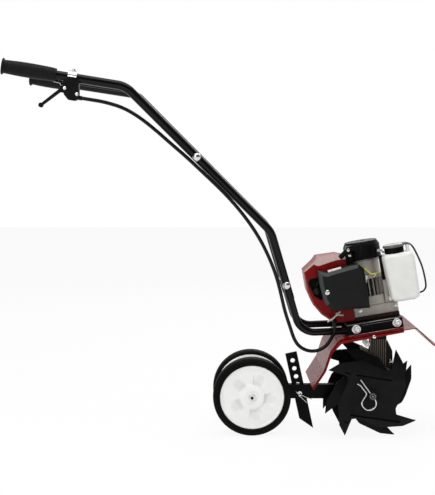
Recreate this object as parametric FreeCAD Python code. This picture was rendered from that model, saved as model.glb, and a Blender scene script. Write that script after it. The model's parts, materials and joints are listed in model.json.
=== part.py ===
"""Mini tiller: two-wheeled garden cultivator with a vertical-crank engine over a worm-drive tine rotor.

Frame: +X forwards (towards the tines), +Y to the machine's left, +Z up, ground at Z = 0, Y = 0 the mid plane.
The engine, its mounting frame and the worm housing lean back together, so they are built upright about the
crank line (local x, y, z) and then seated on the frame by seat_on_frame().
"""
import FreeCAD, Part
import math
import os

V = FreeCAD.Vector

# ---------------------------------------------------------------- clearances
SLIP_FIT = 0.25          # radial gap of a sleeve, socket or pin within one body
RUNNING_FIT = 0.2        # radial gap of a turning shaft in its bore
SIDE_PLAY = 0.2          # flat gap each side of the drag stake
SHELL_GAP = 0.3          # gap between housings that face each other

# ---------------------------------------------------------------- wheels and axle
WHEEL_RADIUS = 101.6
WHEEL_WIDTH = 44.0
WHEEL_INNER_Y = 41.0     # inner face of each wheel from the mid plane
WHEEL_X = 89.7
WHEEL_Z = WHEEL_RADIUS
TYRE_CROWN = 1.5
TYRE_FLAT = 12.0         # width of the highest band of the tread
TYRE_SHOULDER = 5.0
HUB_RADIUS = 83.5
HUB_LIP = 7.0            # radial width of the raised rim of the hub
HUB_LIP_INSET = 3.0      # rim face below the tyre's side
HUB_WEB_INSET = 5.5      # web face below the tyre's side
HUB_BOSS_RADIUS = 20.0
POCKET_COUNT = 5
POCKET_INNER = 29.0
POCKET_OUTER = 62.0
POCKET_ANGLE = 46.0
POCKET_DEPTH = 6.0
POCKET_CORNER = 5.0
POCKET_START = 66.0      # direction of the first pocket, degrees from +X
AXLE_RADIUS = 6.35
AXLE_CAP_RADIUS = 9.0
AXLE_CAP_LENGTH = 4.0
AXLE_END_PLAY = 1.0
AXLE_TUBE_RADIUS = 10.5
AXLE_TUBE_HALF = 38.0

# ---------------------------------------------------------------- tines
TINE_RADIUS = 131.0      # axle to blade tips
TINE_X = 397.0
BLADE_COUNT = 4
REST_HALF_ANGLE = 30.0   # the two lowest tips stand this far each side of straight down
TINE_Z = TINE_RADIUS * math.cos(math.radians(REST_HALF_ANGLE))
TINE_PLATE = 4.0
TINE_WEB_HALF = 50.0     # half height of the flat middle of a tine plate
TINE_FLANGE_ANGLE = 26.0
TINE_FOLD_ANGLE = 8.2    # slope of the outer tine's folds, down towards the front
OUTER_TINE_Y = 113.0     # outer face of the outer tine plate
INNER_TINE_Y = 67.0      # outer face of the inner tine plate
INNER_TINE_TURN = 60.0   # turn of the inner tine from the outer one, half of it taken up by its folds
TINE_HUB_RADIUS = 15.0
SHAFT_RADIUS = 9.5
SHAFT_HALF = 129.0
OUTER_HUB_INNER_Y = 92.0
OUTER_HUB_OUTER_Y = 119.0
INNER_HUB_INNER_Y = 33.0
INNER_HUB_OUTER_Y = 72.0
CLIP_WIRE = 2.0          # radius of the spring wire of the shaft clips
CLIP_SIDES = 8
CLIP_Y = 123.5
CLIP_LEAN = 35.8         # lean of the straight leg, top rearwards
CLIP_LEG = 52.8          # shaft centre to the leg's end
CLIP_LOOP = 17.6         # radius of the loop, and its centre's distance from the leg
CLIP_LOOP_DROP = 10.0    # loop centre below the shaft centre, along the leg
CLIP_GRIP = 15.9         # shaft centre to the waist of the spring leg

# ---------------------------------------------------------------- engine frame
ENGINE_TILT = 9.5        # lean of the crank line, top rearwards
CRANK_X = 410.0          # where the crank line meets the frame's top face
FRAME_TOP_Z = 304.0
FRAME_REAR = -78.0       # local x of the frame's ends
FRAME_FRONT = 67.0
FRAME_DEPTH = 30.0
FRAME_SHEET = 3.0
FRAME_BOLT_Z = -15.0
PAD_REAR = -49.0
PAD_FRONT = 66.0
PAD_HALF = 50.0
PAD_HEIGHT = 9.0

# ---------------------------------------------------------------- handle tubes
TUBE_RADIUS = 11.1
LOWER_TUBE_RADIUS = 9.525
LOWER_TUBE_Y = 72.0
GRIP_END = (-519.0, 222.0, 943.0)      # x, distance from the mid plane, z
UPPER_BEND = (-224.8, 197.0, 896.5)
MIDDLE_BEND = (135.5, 116.0, 535.3)
LOWER_BEND = (214.6, LOWER_TUBE_Y, 269.7)
FRAME_BEND_X = -92.0                   # local x where the lower tube turns along the frame
LOWER_TUBE_END = 54.0                  # local x of its front end
UPPER_BEND_RADIUS = 60.0
MIDDLE_BEND_RADIUS = 70.0
LOWER_BEND_RADIUS = 50.0
FRAME_BEND_RADIUS = 90.0
UPPER_JOINT = 246.3                    # bolt of the upper joint, measured from the upper bend
UPPER_OVERHANG = 48.0                  # upper tube past that bolt
LOWER_JOINT = 146.1                    # bolt of the lower joint, measured from the middle bend
LOWER_OVERHANG = 40.0
SPIGOT_REACH = 25.0                    # inner tube past the bolt, inside the outer one
SOCKET_SPARE = 3.0
CROSSBAR_RADIUS = 8.0
GRIP_RADIUS = 16.5
GRIP_LENGTH = 143.0
GRIP_FLANGE_RADIUS = 20.5
GRIP_FLANGE = 5.0
GRIP_CAP = 4.0

# ---------------------------------------------------------------- throttle control
THROTTLE_FROM_BEND = 130.0             # clamp along the upper tube, from the upper bend
CLAMP_RADIUS = 16.0
CLAMP_WIDTH = 20.0
HOUSING_LENGTH = 36.0
HOUSING_WIDTH = 22.0
HOUSING_DROP = 55.0                    # tube centre to the bottom of the housing
HOUSING_SLANT = 8.0                    # housing's front edge leans forward by this much at the cable
HOUSING_NOSE = 3.0                     # its widest place below the cable's centre
HOUSING_SHOULDER = 24.0                # its rear edge ends this far below the tube centre
HOUSING_ROUND = 3.0
LEVER_THICKNESS = 5.0
LEVER_KNOB_X = -66.5
LEVER_KNOB_Z = -77.7
LEVER_KNOB_RADIUS = 6.0
LEVER_TIP = 2.5                        # half the blade's width at the knob, along x and z
LEVER_KNOB_HALF = 5.0
CABLE_RADIUS = 4.6
CABLE_SIDES = 10
CABLE_FIRST_RUN = 20.0
CABLE_LAST_RUN = 23.0
FERRULE_RADIUS = 5.5
CABLE_EXIT_X = 30.0                    # ferrule face, forward of the clamp
CABLE_EXIT_Z = -46.0                   # below the tube centre
STOP_X = 302.0                         # cable stop beside the shroud
STOP_Y = -90.0
STOP_Z = 306.0
STOP_SHEET = 2.5
STOP_FERRULE = 8.0
STOP_LEG = 20.0

# ---------------------------------------------------------------- guard
GUARD_HALF = 121.0
GUARD_SHEET = 2.5
GUARD_LIP = 13.0                       # depth of the side lips along the top and front
GUARD_REAR_LIP = 5.0                   # depth down the rear apron
GUARD_LIP_ROUND = 24.0                 # inside corner of the lip at the rear fold
GUARD_ARC = 12.0
GUARD_REAR = -106.0                    # local x of the folds of its flat top
GUARD_FRONT = 95.0

# ---------------------------------------------------------------- gearbox
WORM_REAR_X = TINE_X + 7.0             # side-view outline of the worm housing
WORM_FRONT_X = TINE_X + 58.0
WORM_SHOULDER_Z = TINE_Z + 109.0
WORM_NECK_X = TINE_X + 49.0
WORM_NECK_Z = TINE_Z + 131.0
WORM_HALF = 19.0
WORM_RIB_HALF = 21.5                   # half width over the ribs
WORM_RIB = 2.4
WORM_RIB_PITCH = 5.5
GEAR_CASE_RADIUS = 46.0
GEAR_CASE_HALF = 24.0
GEAR_CASE_CHEEK = 20.0                 # half width between the gear case and the split flange
BEARING_RADIUS = 20.0
BEARING_HALF = 28.0
MOUNT_FLANGE_RADIUS = 40.0             # round flange under the guard
MOUNT_FLANGE = 8.0
SPLIT_REAR = (TINE_X - 12.0, TINE_Z + 109.5)  # side-view ends of the split flange, x and z
SPLIT_FRONT = (TINE_X + 58.0, TINE_Z + 49.0)
SPLIT_FLANGE = 9.0
SPLIT_HALF = 22.0
CLUTCH_RADIUS = 44.0
LUG_HALF = 4.0
LUG_LENGTH = 30.0                      # lug inside the bracket's front end

# ---------------------------------------------------------------- wheel bracket and drag stake
BRACKET_PLATE = 5.0
BRACKET_TOP = 122.0
BRACKET_BOTTOM = 84.0
BRACKET_GAP = 3.0                      # bracket plates to the gear case
BRACKET_FRONT = TINE_X - GEAR_CASE_RADIUS - BRACKET_GAP
BRACKET_TAPER = 40.0                   # length over which the plates narrow to the axle
BRACKET_TAIL = 14.0                    # half height of the plates at the axle
BRACKET_TAIL_OVERHANG = 4.0
STAKE_WIDTH = 31.0
STAKE_LEAN = 12.4
STAKE_PIN_X = 218.6
STAKE_PIN_Z = 98.9
STAKE_TOP = 109.6                      # along the stake, above the pin
STAKE_BOTTOM = 101.6                   # along the stake, below the pin
STAKE_CUT = 34.0                       # rise of the angled lower end
STAKE_HOLE_RADIUS = 6.0
STAKE_HOLE_PITCH = 22.0
STAKE_HOLES_ABOVE = 4
PIN_HEAD_RADIUS = 9.0
PIN_HEAD = 3.0
PIN_TAIL = 7.0                         # pin past the plate, for its clip

# ---------------------------------------------------------------- engine
TANK_REAR = 49.0           # rear face of the tank, which the case stops short of
CASE_REAR = -50.0
FOOT_FRONT = 68.0
FOOT_HALF = 46.0
FOOT_TOP = 34.0
CASE_TANK_GAP = 9.0
CASE_FRONT = TANK_REAR - CASE_TANK_GAP
CASE_HALF = 42.0
CASE_TOP = 58.0
CASE_ROUND = 12.0
FIN_RADIUS = 43.0
FIN_TOP = 104.0
FIN_CORE_RADIUS = 35.0
FIN_COUNT = 22
FIN_THICKNESS = 2.6
COLLAR_TOP = 115.0
COLLAR_RADIUS = 43.0
NECK_RADIUS = 39.0
NECK_TOP = 156.0
TANK_LUGS = (78.0, 134.0)  # heights of the lugs that carry the tank
TANK_LUG_HEIGHT = 8.0
TANK_LUG_REAR = 12.0
TANK_LUG_REACH = 5.0       # lug's bearing on the flat of the tank's rear face
TANK_LUG_INNER_Y = -32.0
STARTER_RADIUS = 48.0
STARTER_SHOULDER = 190.0
STARTER_TOP = 201.0
STARTER_TOP_RADIUS = 42.0
SLOT_COUNT = 18
SLOT_WIDTH = 5.0
SLOT_DEPTH = 3.0
SLOT_LOW = 163.0
SLOT_HIGH = 184.0
SHROUD_TOP = 180.0
SNOUT_BOTTOM = SHROUD_TOP + 3.0
SNOUT_HEIGHT = 14.0
SNOUT_REACH = 47.0
SNOUT_OUTER_Y = -48.0
SNOUT_INNER_Y = -26.0
GRIP_BAR_RADIUS = 6.5
GRIP_BAR_Y = -58.0
GRIP_BAR_ENDS = ((-36.0, 193.0), (-66.0, 172.0))
SHROUD_HALF = 50.0
SHROUD_WALL = 2.5
SHROUD_ROUND = 8.0
SHROUD_FOOT = -80.0        # rear end of its flat foot
SHROUD_FRONT_TOP = 172.0
PLUG_WINDOW = [(-152.0, 128.0), (-128.0, 131.0), (-116.0, 112.0), (-114.0, 76.0), (-134.0, 72.0),
               (-148.0, 92.0)]
PLUG_WINDOW_ROUND = 5.0
CYLINDER_FINS = 7
CYLINDER_FIN_PITCH = 10.0
CYLINDER_FIN = 2.5
CYLINDER_FIN_HALF = 36.0
CYLINDER_RADIUS = 25.0     # half width of the barrel
CYLINDER_LENGTH = 84.0
CYLINDER_Z = 96.0
PLUG_RADIUS = 8.0
PLUG_LENGTH = 14.0
BOOT_RADIUS = 7.0
BOOT_LENGTH = 34.0
COVER_INNER_Y = -56.0
COVER_OUTER_Y = -106.0
COVER_WALL = 2.5
COVER_BEVEL = 8.0          # width of the bevel round its outer face
COVER_BEVEL_DEPTH = 6.0
COVER_BOSSES = [(-112.0, 94.0), (-82.0, 132.0), (-72.0, 56.0)]
COVER_BOSS_RADIUS = 5.0
MUFFLER_ENDS = (-106.0, -36.0)
MUFFLER_HEIGHTS = (66.0, 126.0)
MUFFLER_GAP = 9.0          # muffler to the guard's outer face, and port length
MUFFLER_ROUND = 8.0
TANK_LENGTH = 72.0
TANK_BOTTOM = 39.0
TANK_HEIGHT = 124.0
TANK_OUTER_Y = -100.0
TANK_INNER_Y = -30.0
TANK_ROUND = 11.0
CAP_RADIUS = 25.0
CAP_HEIGHT = 15.0
CAP_DOME_RADIUS = 28.0
CAP_DOME_HEIGHT = 9.0
CAP_DOME_BEVEL = 3.0
CAP_PLACE = 0.367          # share of the tank's length behind the cap's centre
FUEL_LINE_RADIUS = 2.4
FUEL_LINE_DROP = 4.5       # hose below the dome's top where it leaves
FUEL_LINE_FIRST = 8.8      # straight run at each end
FUEL_LINE_LOW = 50.5
CARB_ENDS = (-92.0, -52.0)
CARB_HEIGHTS = (76.0, 112.0)
CARB_WIDTH = 32.0
FILTER_ENDS = (-118.0, -34.0)
FILTER_HEIGHTS = (56.0, 132.0)
FILTER_WIDTH = 34.0
FILTER_ROUND = 12.0
FILTER_BEVEL = 4.0


# ================================================================ helpers
def box(x0, x1, y0, y1, z0, z1):
    """Block between three pairs of faces."""
    return Part.makeBox(x1 - x0, y1 - y0, z1 - z0, V(x0, y0, z0))


def rod_y(x, z, y0, y1, radius):
    """Round rod across the machine."""
    return Part.makeCylinder(radius, y1 - y0, V(x, y0, z), V(0, 1, 0))


def rod_z(x, y, z0, z1, radius):
    """Upright round rod."""
    return Part.makeCylinder(radius, z1 - z0, V(x, y, z0))


def rod_between(start, end, radius):
    """Round rod from one point to another."""
    return Part.makeCylinder(radius, (end - start).Length, start, end - start)


def along(start, towards, distance):
    """Point at a distance from start on the way to another point."""
    return start + (towards - start).normalize() * distance


def corner_arc(before, corner, after, radius):
    """Start, middle and end of the arc that rounds one corner of a path."""
    back = (before - corner).normalize()
    ahead = (after - corner).normalize()
    half = back.getAngle(ahead) / 2
    bisector = (back + ahead).normalize()
    centre = corner + bisector * (radius / math.sin(half))
    inset = radius / math.tan(half)
    return corner + back * inset, centre - bisector * radius, corner + ahead * inset


def open_path(points, radii):
    """Straight runs joined by tangent arcs."""
    edges = []
    at = points[0]
    for before, corner, after, radius in zip(points, points[1:], points[2:], radii):
        start, middle, end = corner_arc(before, corner, after, radius)
        edges.append(Part.makeLine(at, start))
        edges.append(Part.Arc(start, middle, end).toShape())
        at = end
    edges.append(Part.makeLine(at, points[-1]))
    return Part.Wire(edges)


def round_bar(points, radii, radius):
    """Round bar that follows an open path."""
    ring = Part.Wire([Part.makeCircle(radius, points[0], points[1] - points[0])])
    return open_path(points, radii).makePipeShell([ring], True, False)


def faceted_wire(points, radii, radius, sides):
    """Wire or cable along an open path that starts in a side-view plane, with a regular flat-sided section."""
    ahead = (points[1] - points[0]).normalize()
    up = ahead.cross(V(0, 1, 0)).normalize()
    across = up.cross(ahead)
    corners = []
    for i in range(sides):
        angle = 2 * math.pi * (i + 0.5) / sides
        corners.append(points[0] + across * (radius * math.cos(angle)) + up * (radius * math.sin(angle)))
    return open_path(points, radii).makePipeShell([Part.makePolygon(corners + corners[:1])], True, False)


def rounded_face(points, radii):
    """Flat face whose corners are tangent arcs; a radius of 0 leaves a corner sharp."""
    count = len(points)
    arcs = []
    for i, radius in enumerate(radii):
        if radius:
            arcs.append(corner_arc(points[i - 1], points[i], points[(i + 1) % count], radius))
        else:
            arcs.append((points[i], None, points[i]))
    edges = []
    for (start, middle, end), following in zip(arcs, arcs[1:] + arcs[:1]):
        if middle is not None:
            edges.append(Part.Arc(start, middle, end).toShape())
        if (following[0] - end).Length > 1e-6:
            edges.append(Part.makeLine(end, following[0]))
    return Part.Face(Part.Wire(edges))


def side_prism(outline, y0, y1, radius=0.0):
    """Solid with a side-view outline of (x, z) corners, from y0 to y1."""
    corners = [V(x, y0, z) for x, z in outline]
    return rounded_face(corners, [radius] * len(corners)).extrude(V(0, y1 - y0, 0))


def turned(profile, x, z):
    """Solid of revolution about the crosswise line through (x, z), from (radius, y) corners."""
    corners = [V(x, y, z + r) for r, y in profile]
    face = Part.Face(Part.makePolygon(corners + corners[:1]))
    return face.revolve(V(x, 0, z), V(0, 1, 0), 360)


def turned_upright(profile):
    """Solid of revolution about the crank line, from (radius, z) corners."""
    corners = [V(r, 0, z) for r, z in profile]
    return Part.Face(Part.makePolygon(corners + corners[:1])).revolve(V(0, 0, 0), V(0, 0, 1), 360)


def inset(outline, depth):
    """Side-view outline moved inwards by a depth, corner for corner."""
    corners = [V(x, 0, z) for x, z in outline]
    area = sum(a.x * b.z - b.x * a.z for a, b in zip(corners, corners[1:] + corners[:1]))
    moved = []
    for i, corner in enumerate(corners):
        before = (corner - corners[i - 1]).normalize()
        after = (corners[(i + 1) % len(corners)] - corner).normalize()
        square = V(-before.z - after.z, 0, before.x + after.x).normalize() * math.copysign(1, area)
        spot = corner + square * (depth / math.cos(before.getAngle(after) / 2))
        moved.append((spot.x, spot.z))
    return moved


def bevelled_slab(outline, inner_y, outer_y, bevel, bevel_depth):
    """Side-view slab whose outer face is ringed by a bevel."""
    wires = []
    for shape, y in ((outline, outer_y + bevel_depth), (inset(outline, bevel), outer_y)):
        corners = [V(x, y, z) for x, z in shape]
        wires.append(Part.makePolygon(corners + corners[:1]))
    return fuse(side_prism(outline, outer_y + bevel_depth, inner_y), Part.makeLoft(wires, True, True))


def tangent_point(outside, centre, radius, side):
    """Where the line from an outside point touches a circle in the side view; side is +1 or -1."""
    away = outside - centre
    swing = side * math.degrees(math.acos(radius / away.Length))
    turn = FreeCAD.Rotation(V(0, 1, 0), swing)
    return centre + turn.multVec(away.normalize() * radius)


def fillet_edges(solid, radius, chosen):
    """Round the edges for which chosen(edge) is true."""
    return solid.makeFillet(radius, [edge for edge in solid.Edges if chosen(edge)])


def runs_along(edge, direction):
    """True for a straight edge parallel to a direction."""
    if len(edge.Vertexes) < 2 or not isinstance(edge.Curve, Part.Line):
        return False
    return edge.tangentAt(edge.FirstParameter).cross(direction).Length < 1e-6


def fuse(first, *others):
    """One solid from several that meet."""
    return first.fuse(list(others)).removeSplitter()


def mirrored(solid):
    """The same piece for the machine's left side."""
    return solid.mirror(V(0, 0, 0), V(0, 1, 0))


def frame_point(x, y, z):
    """World point of a place given from the crank line and the frame's top."""
    tilt = math.radians(ENGINE_TILT)
    return V(CRANK_X + x * math.cos(tilt) - z * math.sin(tilt), y,
             FRAME_TOP_Z + x * math.sin(tilt) + z * math.cos(tilt))


def seat_on_frame(solid):
    """Lean a piece built about the crank line and set it on the frame."""
    solid = solid.copy()
    solid.rotate(V(0, 0, 0), V(0, 1, 0), -ENGINE_TILT)
    solid.translate(V(CRANK_X, 0, FRAME_TOP_Z))
    return solid


# ================================================================ wheels
def tyre():
    """Solid rubber tyre with a slight crown, for the right wheel."""
    half = WHEEL_WIDTH / 2
    shoulder = WHEEL_RADIUS - TYRE_CROWN
    near = [(HUB_RADIUS, half), (shoulder - TYRE_SHOULDER, half),
            (shoulder - 0.3 * TYRE_SHOULDER, half - 0.3 * TYRE_SHOULDER), (shoulder, half - TYRE_SHOULDER),
            (WHEEL_RADIUS, TYRE_FLAT / 2)]
    far = [(radius, -y) for radius, y in reversed(near)]
    ring = turned(near + far, WHEEL_X, WHEEL_Z)
    ring.translate(V(0, -WHEEL_INNER_Y - half, 0))
    return ring


def hub_pocket(direction):
    """Rounded sector that is sunk into both faces of the hub, built flat about the origin."""
    half = math.radians(POCKET_ANGLE / 2)
    turn = math.radians(direction)

    def at(radius, angle):
        return V(radius * math.cos(turn + angle), radius * math.sin(turn + angle), 0)

    inner = Part.Arc(at(POCKET_INNER, -half), at(POCKET_INNER, 0), at(POCKET_INNER, half)).toShape()
    outer = Part.Arc(at(POCKET_OUTER, half), at(POCKET_OUTER, 0), at(POCKET_OUTER, -half)).toShape()
    sides = [Part.makeLine(at(POCKET_INNER, half), at(POCKET_OUTER, half)),
             Part.makeLine(at(POCKET_OUTER, -half), at(POCKET_INNER, -half))]
    sector = Part.Face(Part.Wire([inner, sides[0], outer, sides[1]])).extrude(V(0, 0, WHEEL_WIDTH))
    return fillet_edges(sector, POCKET_CORNER, lambda edge: runs_along(edge, V(0, 0, 1)))


def wheel_hub():
    """White plastic hub with five shallow pockets in each face, for the right wheel."""
    half = WHEEL_WIDTH / 2
    rim = HUB_RADIUS - SHELL_GAP
    profile = [(AXLE_RADIUS + RUNNING_FIT, -half), (HUB_BOSS_RADIUS, -half),
               (HUB_BOSS_RADIUS, -half + HUB_WEB_INSET), (rim - HUB_LIP, -half + HUB_WEB_INSET),
               (rim - HUB_LIP, -half + HUB_LIP_INSET), (rim, -half + HUB_LIP_INSET),
               (rim, half - HUB_LIP_INSET), (rim - HUB_LIP, half - HUB_LIP_INSET),
               (rim - HUB_LIP, half - HUB_WEB_INSET), (HUB_BOSS_RADIUS, half - HUB_WEB_INSET),
               (HUB_BOSS_RADIUS, half), (AXLE_RADIUS + RUNNING_FIT, half)]
    hub = turned(profile, 0, 0)
    floor = half - HUB_WEB_INSET - POCKET_DEPTH
    for i in range(POCKET_COUNT):
        pocket = hub_pocket(POCKET_START + i * 360 / POCKET_COUNT)
        pocket.rotate(V(0, 0, 0), V(1, 0, 0), 90)
        for y in (-floor, floor + WHEEL_WIDTH):
            hub = hub.cut(pocket.translated(V(0, y, 0)))
    hub.translate(V(WHEEL_X, -WHEEL_INNER_Y - half, WHEEL_Z))
    return hub


def wheel_axle():
    """Steel axle with a push-on cap at each end."""
    cap = WHEEL_INNER_Y + WHEEL_WIDTH + AXLE_END_PLAY
    end = cap + AXLE_CAP_LENGTH
    return fuse(rod_y(WHEEL_X, WHEEL_Z, -end, end, AXLE_RADIUS),
                rod_y(WHEEL_X, WHEEL_Z, cap, end, AXLE_CAP_RADIUS),
                rod_y(WHEEL_X, WHEEL_Z, -end, -cap, AXLE_CAP_RADIUS))


# ================================================================ tine rotor
def blade_outline(turn):
    """Side-view star of four hooked blades about the tine shaft, one tip at the angle turn."""
    # one quarter, for a tip that points straight down at 240 degrees: radius and angle of each corner
    quarter = [(TINE_RADIUS, 240.0, 0.0), (0.62 * TINE_RADIUS, 231.5, 0.0), (0.54 * TINE_RADIUS, 240.5, 7.0),
               (0.69 * TINE_RADIUS, 284.0, 12.0), (0.885 * TINE_RADIUS, 315.0, 16.0)]
    corners = []
    radii = []
    for i in range(BLADE_COUNT):
        for radius, angle, rounding in quarter:
            at = math.radians(angle - 240.0 + turn + i * 360 / BLADE_COUNT)
            corners.append((radius * math.cos(at), radius * math.sin(at)))
            radii.append(rounding)
    return corners, radii


def folded_plate(half_length):
    """Plate whose upper and lower bands fold towards +Y, its flat middle from y = 0 to the plate thickness."""
    slope = math.tan(math.radians(TINE_FLANGE_ANGLE))
    slant = TINE_PLATE / math.cos(math.radians(TINE_FLANGE_ANGLE))
    reach = TINE_RADIUS + 10
    rise = (reach - TINE_WEB_HALF) * slope
    inner_web = TINE_WEB_HALF - (slant - TINE_PLATE) / slope
    section = [(-reach, rise), (-TINE_WEB_HALF, 0), (TINE_WEB_HALF, 0), (reach, rise),
               (reach, rise + slant), (inner_web, TINE_PLATE), (-inner_web, TINE_PLATE), (-reach, rise + slant)]
    corners = [V(-half_length, y, z) for z, y in section]
    face = Part.Face(Part.makePolygon(corners + corners[:1]))
    return face.extrude(V(2 * half_length, 0, 0))


def tine(turn, fold_turn, outer_face, hub_inner, hub_outer):
    """One tine of the right side: star plate, folded inwards, on a sleeve that fits the shaft."""
    corners, radii = blade_outline(turn)
    star = rounded_face([V(x, -TINE_RADIUS, z) for x, z in corners], radii)
    star = star.extrude(V(0, 2 * TINE_RADIUS, 0))
    plate = folded_plate(TINE_RADIUS + 10)
    plate.rotate(V(0, 0, 0), V(0, 1, 0), fold_turn)
    plate = plate.common(star)
    plate.translate(V(0, -outer_face, 0))
    sleeve = rod_y(0, 0, -hub_outer, -hub_inner, TINE_HUB_RADIUS)
    bore = rod_y(0, 0, -hub_outer - 1, -hub_inner + 1, SHAFT_RADIUS + SLIP_FIT)
    solid = fuse(plate, sleeve).cut(bore)
    solid.translate(V(TINE_X, 0, TINE_Z))
    return solid


def outer_tine():
    """Outer tine of the right side, its blades folded inwards."""
    turn = 270.0 - REST_HALF_ANGLE
    return tine(turn, TINE_FOLD_ANGLE, OUTER_TINE_Y, OUTER_HUB_INNER_Y, OUTER_HUB_OUTER_Y)


def inner_tine():
    """Inner tine of the right side, its blades folded inwards beside the gearbox."""
    turn = 270.0 - REST_HALF_ANGLE + INNER_TINE_TURN
    return tine(turn, TINE_FOLD_ANGLE + INNER_TINE_TURN / 2, INNER_TINE_Y, INNER_HUB_INNER_Y, INNER_HUB_OUTER_Y)


def tine_shaft():
    """Through shaft of the rotor, cross-drilled for its clips."""
    shaft = rod_y(TINE_X, TINE_Z, -SHAFT_HALF, SHAFT_HALF, SHAFT_RADIUS)
    for side in (-1, 1):
        shaft = shaft.cut(clip_hole(side))
    return shaft


def clip_direction():
    """Direction of the clip's straight leg, up and rearwards."""
    lean = math.radians(CLIP_LEAN)
    return V(-math.sin(lean), 0, math.cos(lean))


def clip_hole(side):
    """Cross hole of the shaft for a clip's leg."""
    middle = V(TINE_X, side * CLIP_Y, TINE_Z)
    reach = clip_direction() * (2 * SHAFT_RADIUS)
    return rod_between(middle - reach, middle + reach, CLIP_WIRE + SLIP_FIT)


def tine_clip(side):
    """Spring clip: straight leg through the shaft, a round loop below, and a waisted spring leg beside it."""
    down = clip_direction() * -1
    out = V(-down.z, 0, down.x)
    middle = V(TINE_X, side * CLIP_Y, TINE_Z)
    eye = middle + down * CLIP_LOOP_DROP - out * CLIP_LOOP
    corners = [middle - down * CLIP_LEG, eye + (down + out) * CLIP_LOOP, eye + (down - out) * CLIP_LOOP]
    turn_back = corners[-1] - down * (1.7 * CLIP_LOOP)
    waist = middle - down * (0.86 * CLIP_GRIP) - out * (0.5 * CLIP_GRIP)
    flare = waist - down * 22 - out * 3
    corners += [turn_back, waist, flare, flare - down * 8 - out * 7]
    radii = [0.98 * CLIP_LOOP, 0.98 * CLIP_LOOP, 0.7 * CLIP_LOOP, 6, 6]
    return faceted_wire(corners, radii, CLIP_WIRE, CLIP_SIDES)


# ================================================================ handle
def side_point(place, side):
    """World point of a (x, distance from mid plane, z) place on one side of the machine."""
    x, offset, z = place
    return V(x, side * offset, z)


def handle_points(side):
    """Corner points, joints and ends of one side's handle tubes."""
    grip = side_point(GRIP_END, side)
    upper = side_point(UPPER_BEND, side)
    middle = side_point(MIDDLE_BEND, side)
    lower = side_point(LOWER_BEND, side)
    across = side * LOWER_TUBE_Y
    return {
        "grip": grip, "upper": upper, "middle": middle, "lower": lower,
        "upper_joint": along(upper, middle, UPPER_JOINT),
        "upper_end": along(upper, middle, UPPER_JOINT + UPPER_OVERHANG),
        "upper_spigot": along(upper, middle, UPPER_JOINT - SPIGOT_REACH),
        "lower_joint": along(middle, lower, LOWER_JOINT),
        "lower_end": along(middle, lower, LOWER_JOINT + LOWER_OVERHANG),
        "lower_spigot": along(middle, lower, LOWER_JOINT - SPIGOT_REACH),
        "frame_bend": frame_point(FRAME_BEND_X, across, FRAME_BOLT_Z),
        "front": frame_point(LOWER_TUBE_END, across, FRAME_BOLT_Z),
    }


def upper_handle(side):
    """Upper tube: grip end, bend and a socket at its lower end."""
    at = handle_points(side)
    tube = round_bar([at["grip"], at["upper"], at["upper_end"]], [UPPER_BEND_RADIUS], TUBE_RADIUS)
    socket = rod_between(along(at["upper_spigot"], at["upper"], SOCKET_SPARE), at["upper_end"],
                         LOWER_TUBE_RADIUS + SLIP_FIT)
    return tube.cut(socket)


def middle_handle(side):
    """Middle tube: necked-down top in the upper tube, bend and a socket at its lower end."""
    at = handle_points(side)
    tube = round_bar([at["upper_end"], at["middle"], at["lower_end"]], [MIDDLE_BEND_RADIUS], TUBE_RADIUS)
    neck = rod_between(at["upper_spigot"], along(at["upper_end"], at["middle"], 1.0), LOWER_TUBE_RADIUS)
    socket = rod_between(along(at["lower_spigot"], at["middle"], SOCKET_SPARE), at["lower_end"],
                         LOWER_TUBE_RADIUS + SLIP_FIT)
    return fuse(tube, neck).cut(socket)


def lower_handle(side):
    """Lower tube: from the middle tube's socket, round the lower bend and along inside the frame."""
    at = handle_points(side)
    points = [at["lower_spigot"], at["lower"], at["frame_bend"], at["front"]]
    return round_bar(points, [LOWER_BEND_RADIUS, FRAME_BEND_RADIUS], LOWER_TUBE_RADIUS)


def grip(side):
    """Rubber grip on the end of the upper tube, flanged at its outer end."""
    at = handle_points(side)
    end = along(at["grip"], at["upper"], -GRIP_CAP)
    sleeve = rod_between(end, along(at["grip"], at["upper"], GRIP_LENGTH - GRIP_CAP), GRIP_RADIUS)
    flange = rod_between(end, along(end, at["upper"], GRIP_FLANGE), GRIP_FLANGE_RADIUS)
    bore = rod_between(at["grip"], at["upper"], TUBE_RADIUS + SLIP_FIT)
    return fuse(sleeve, flange).cut(bore)


def handle_crossbar():
    """Brace between the two upper tubes at their lower joint."""
    right = handle_points(-1)["upper_joint"]
    bar = rod_between(right, handle_points(1)["upper_joint"], CROSSBAR_RADIUS)
    for side in (-1, 1):
        at = handle_points(side)
        bar = bar.cut(rod_between(at["upper"], at["upper_end"], TUBE_RADIUS + SLIP_FIT))
    return max(bar.Solids, key=lambda piece: piece.Volume)


# ================================================================ throttle control
def throttle_place(solid):
    """Set a piece built about the origin, tube along x, on the right upper tube."""
    at = handle_points(-1)
    slope = math.degrees(math.atan2(at["grip"].z - at["upper"].z, at["upper"].x - at["grip"].x))
    solid = solid.copy()
    solid.rotate(V(0, 0, 0), V(0, 1, 0), slope)
    solid.translate(along(at["upper"], at["grip"], THROTTLE_FROM_BEND))
    return solid


def throttle_point(x, z):
    """World point of a place given from the middle of the clamp, in the tube's side view."""
    return throttle_place(Part.Vertex(x, 0, z)).Point


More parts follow.
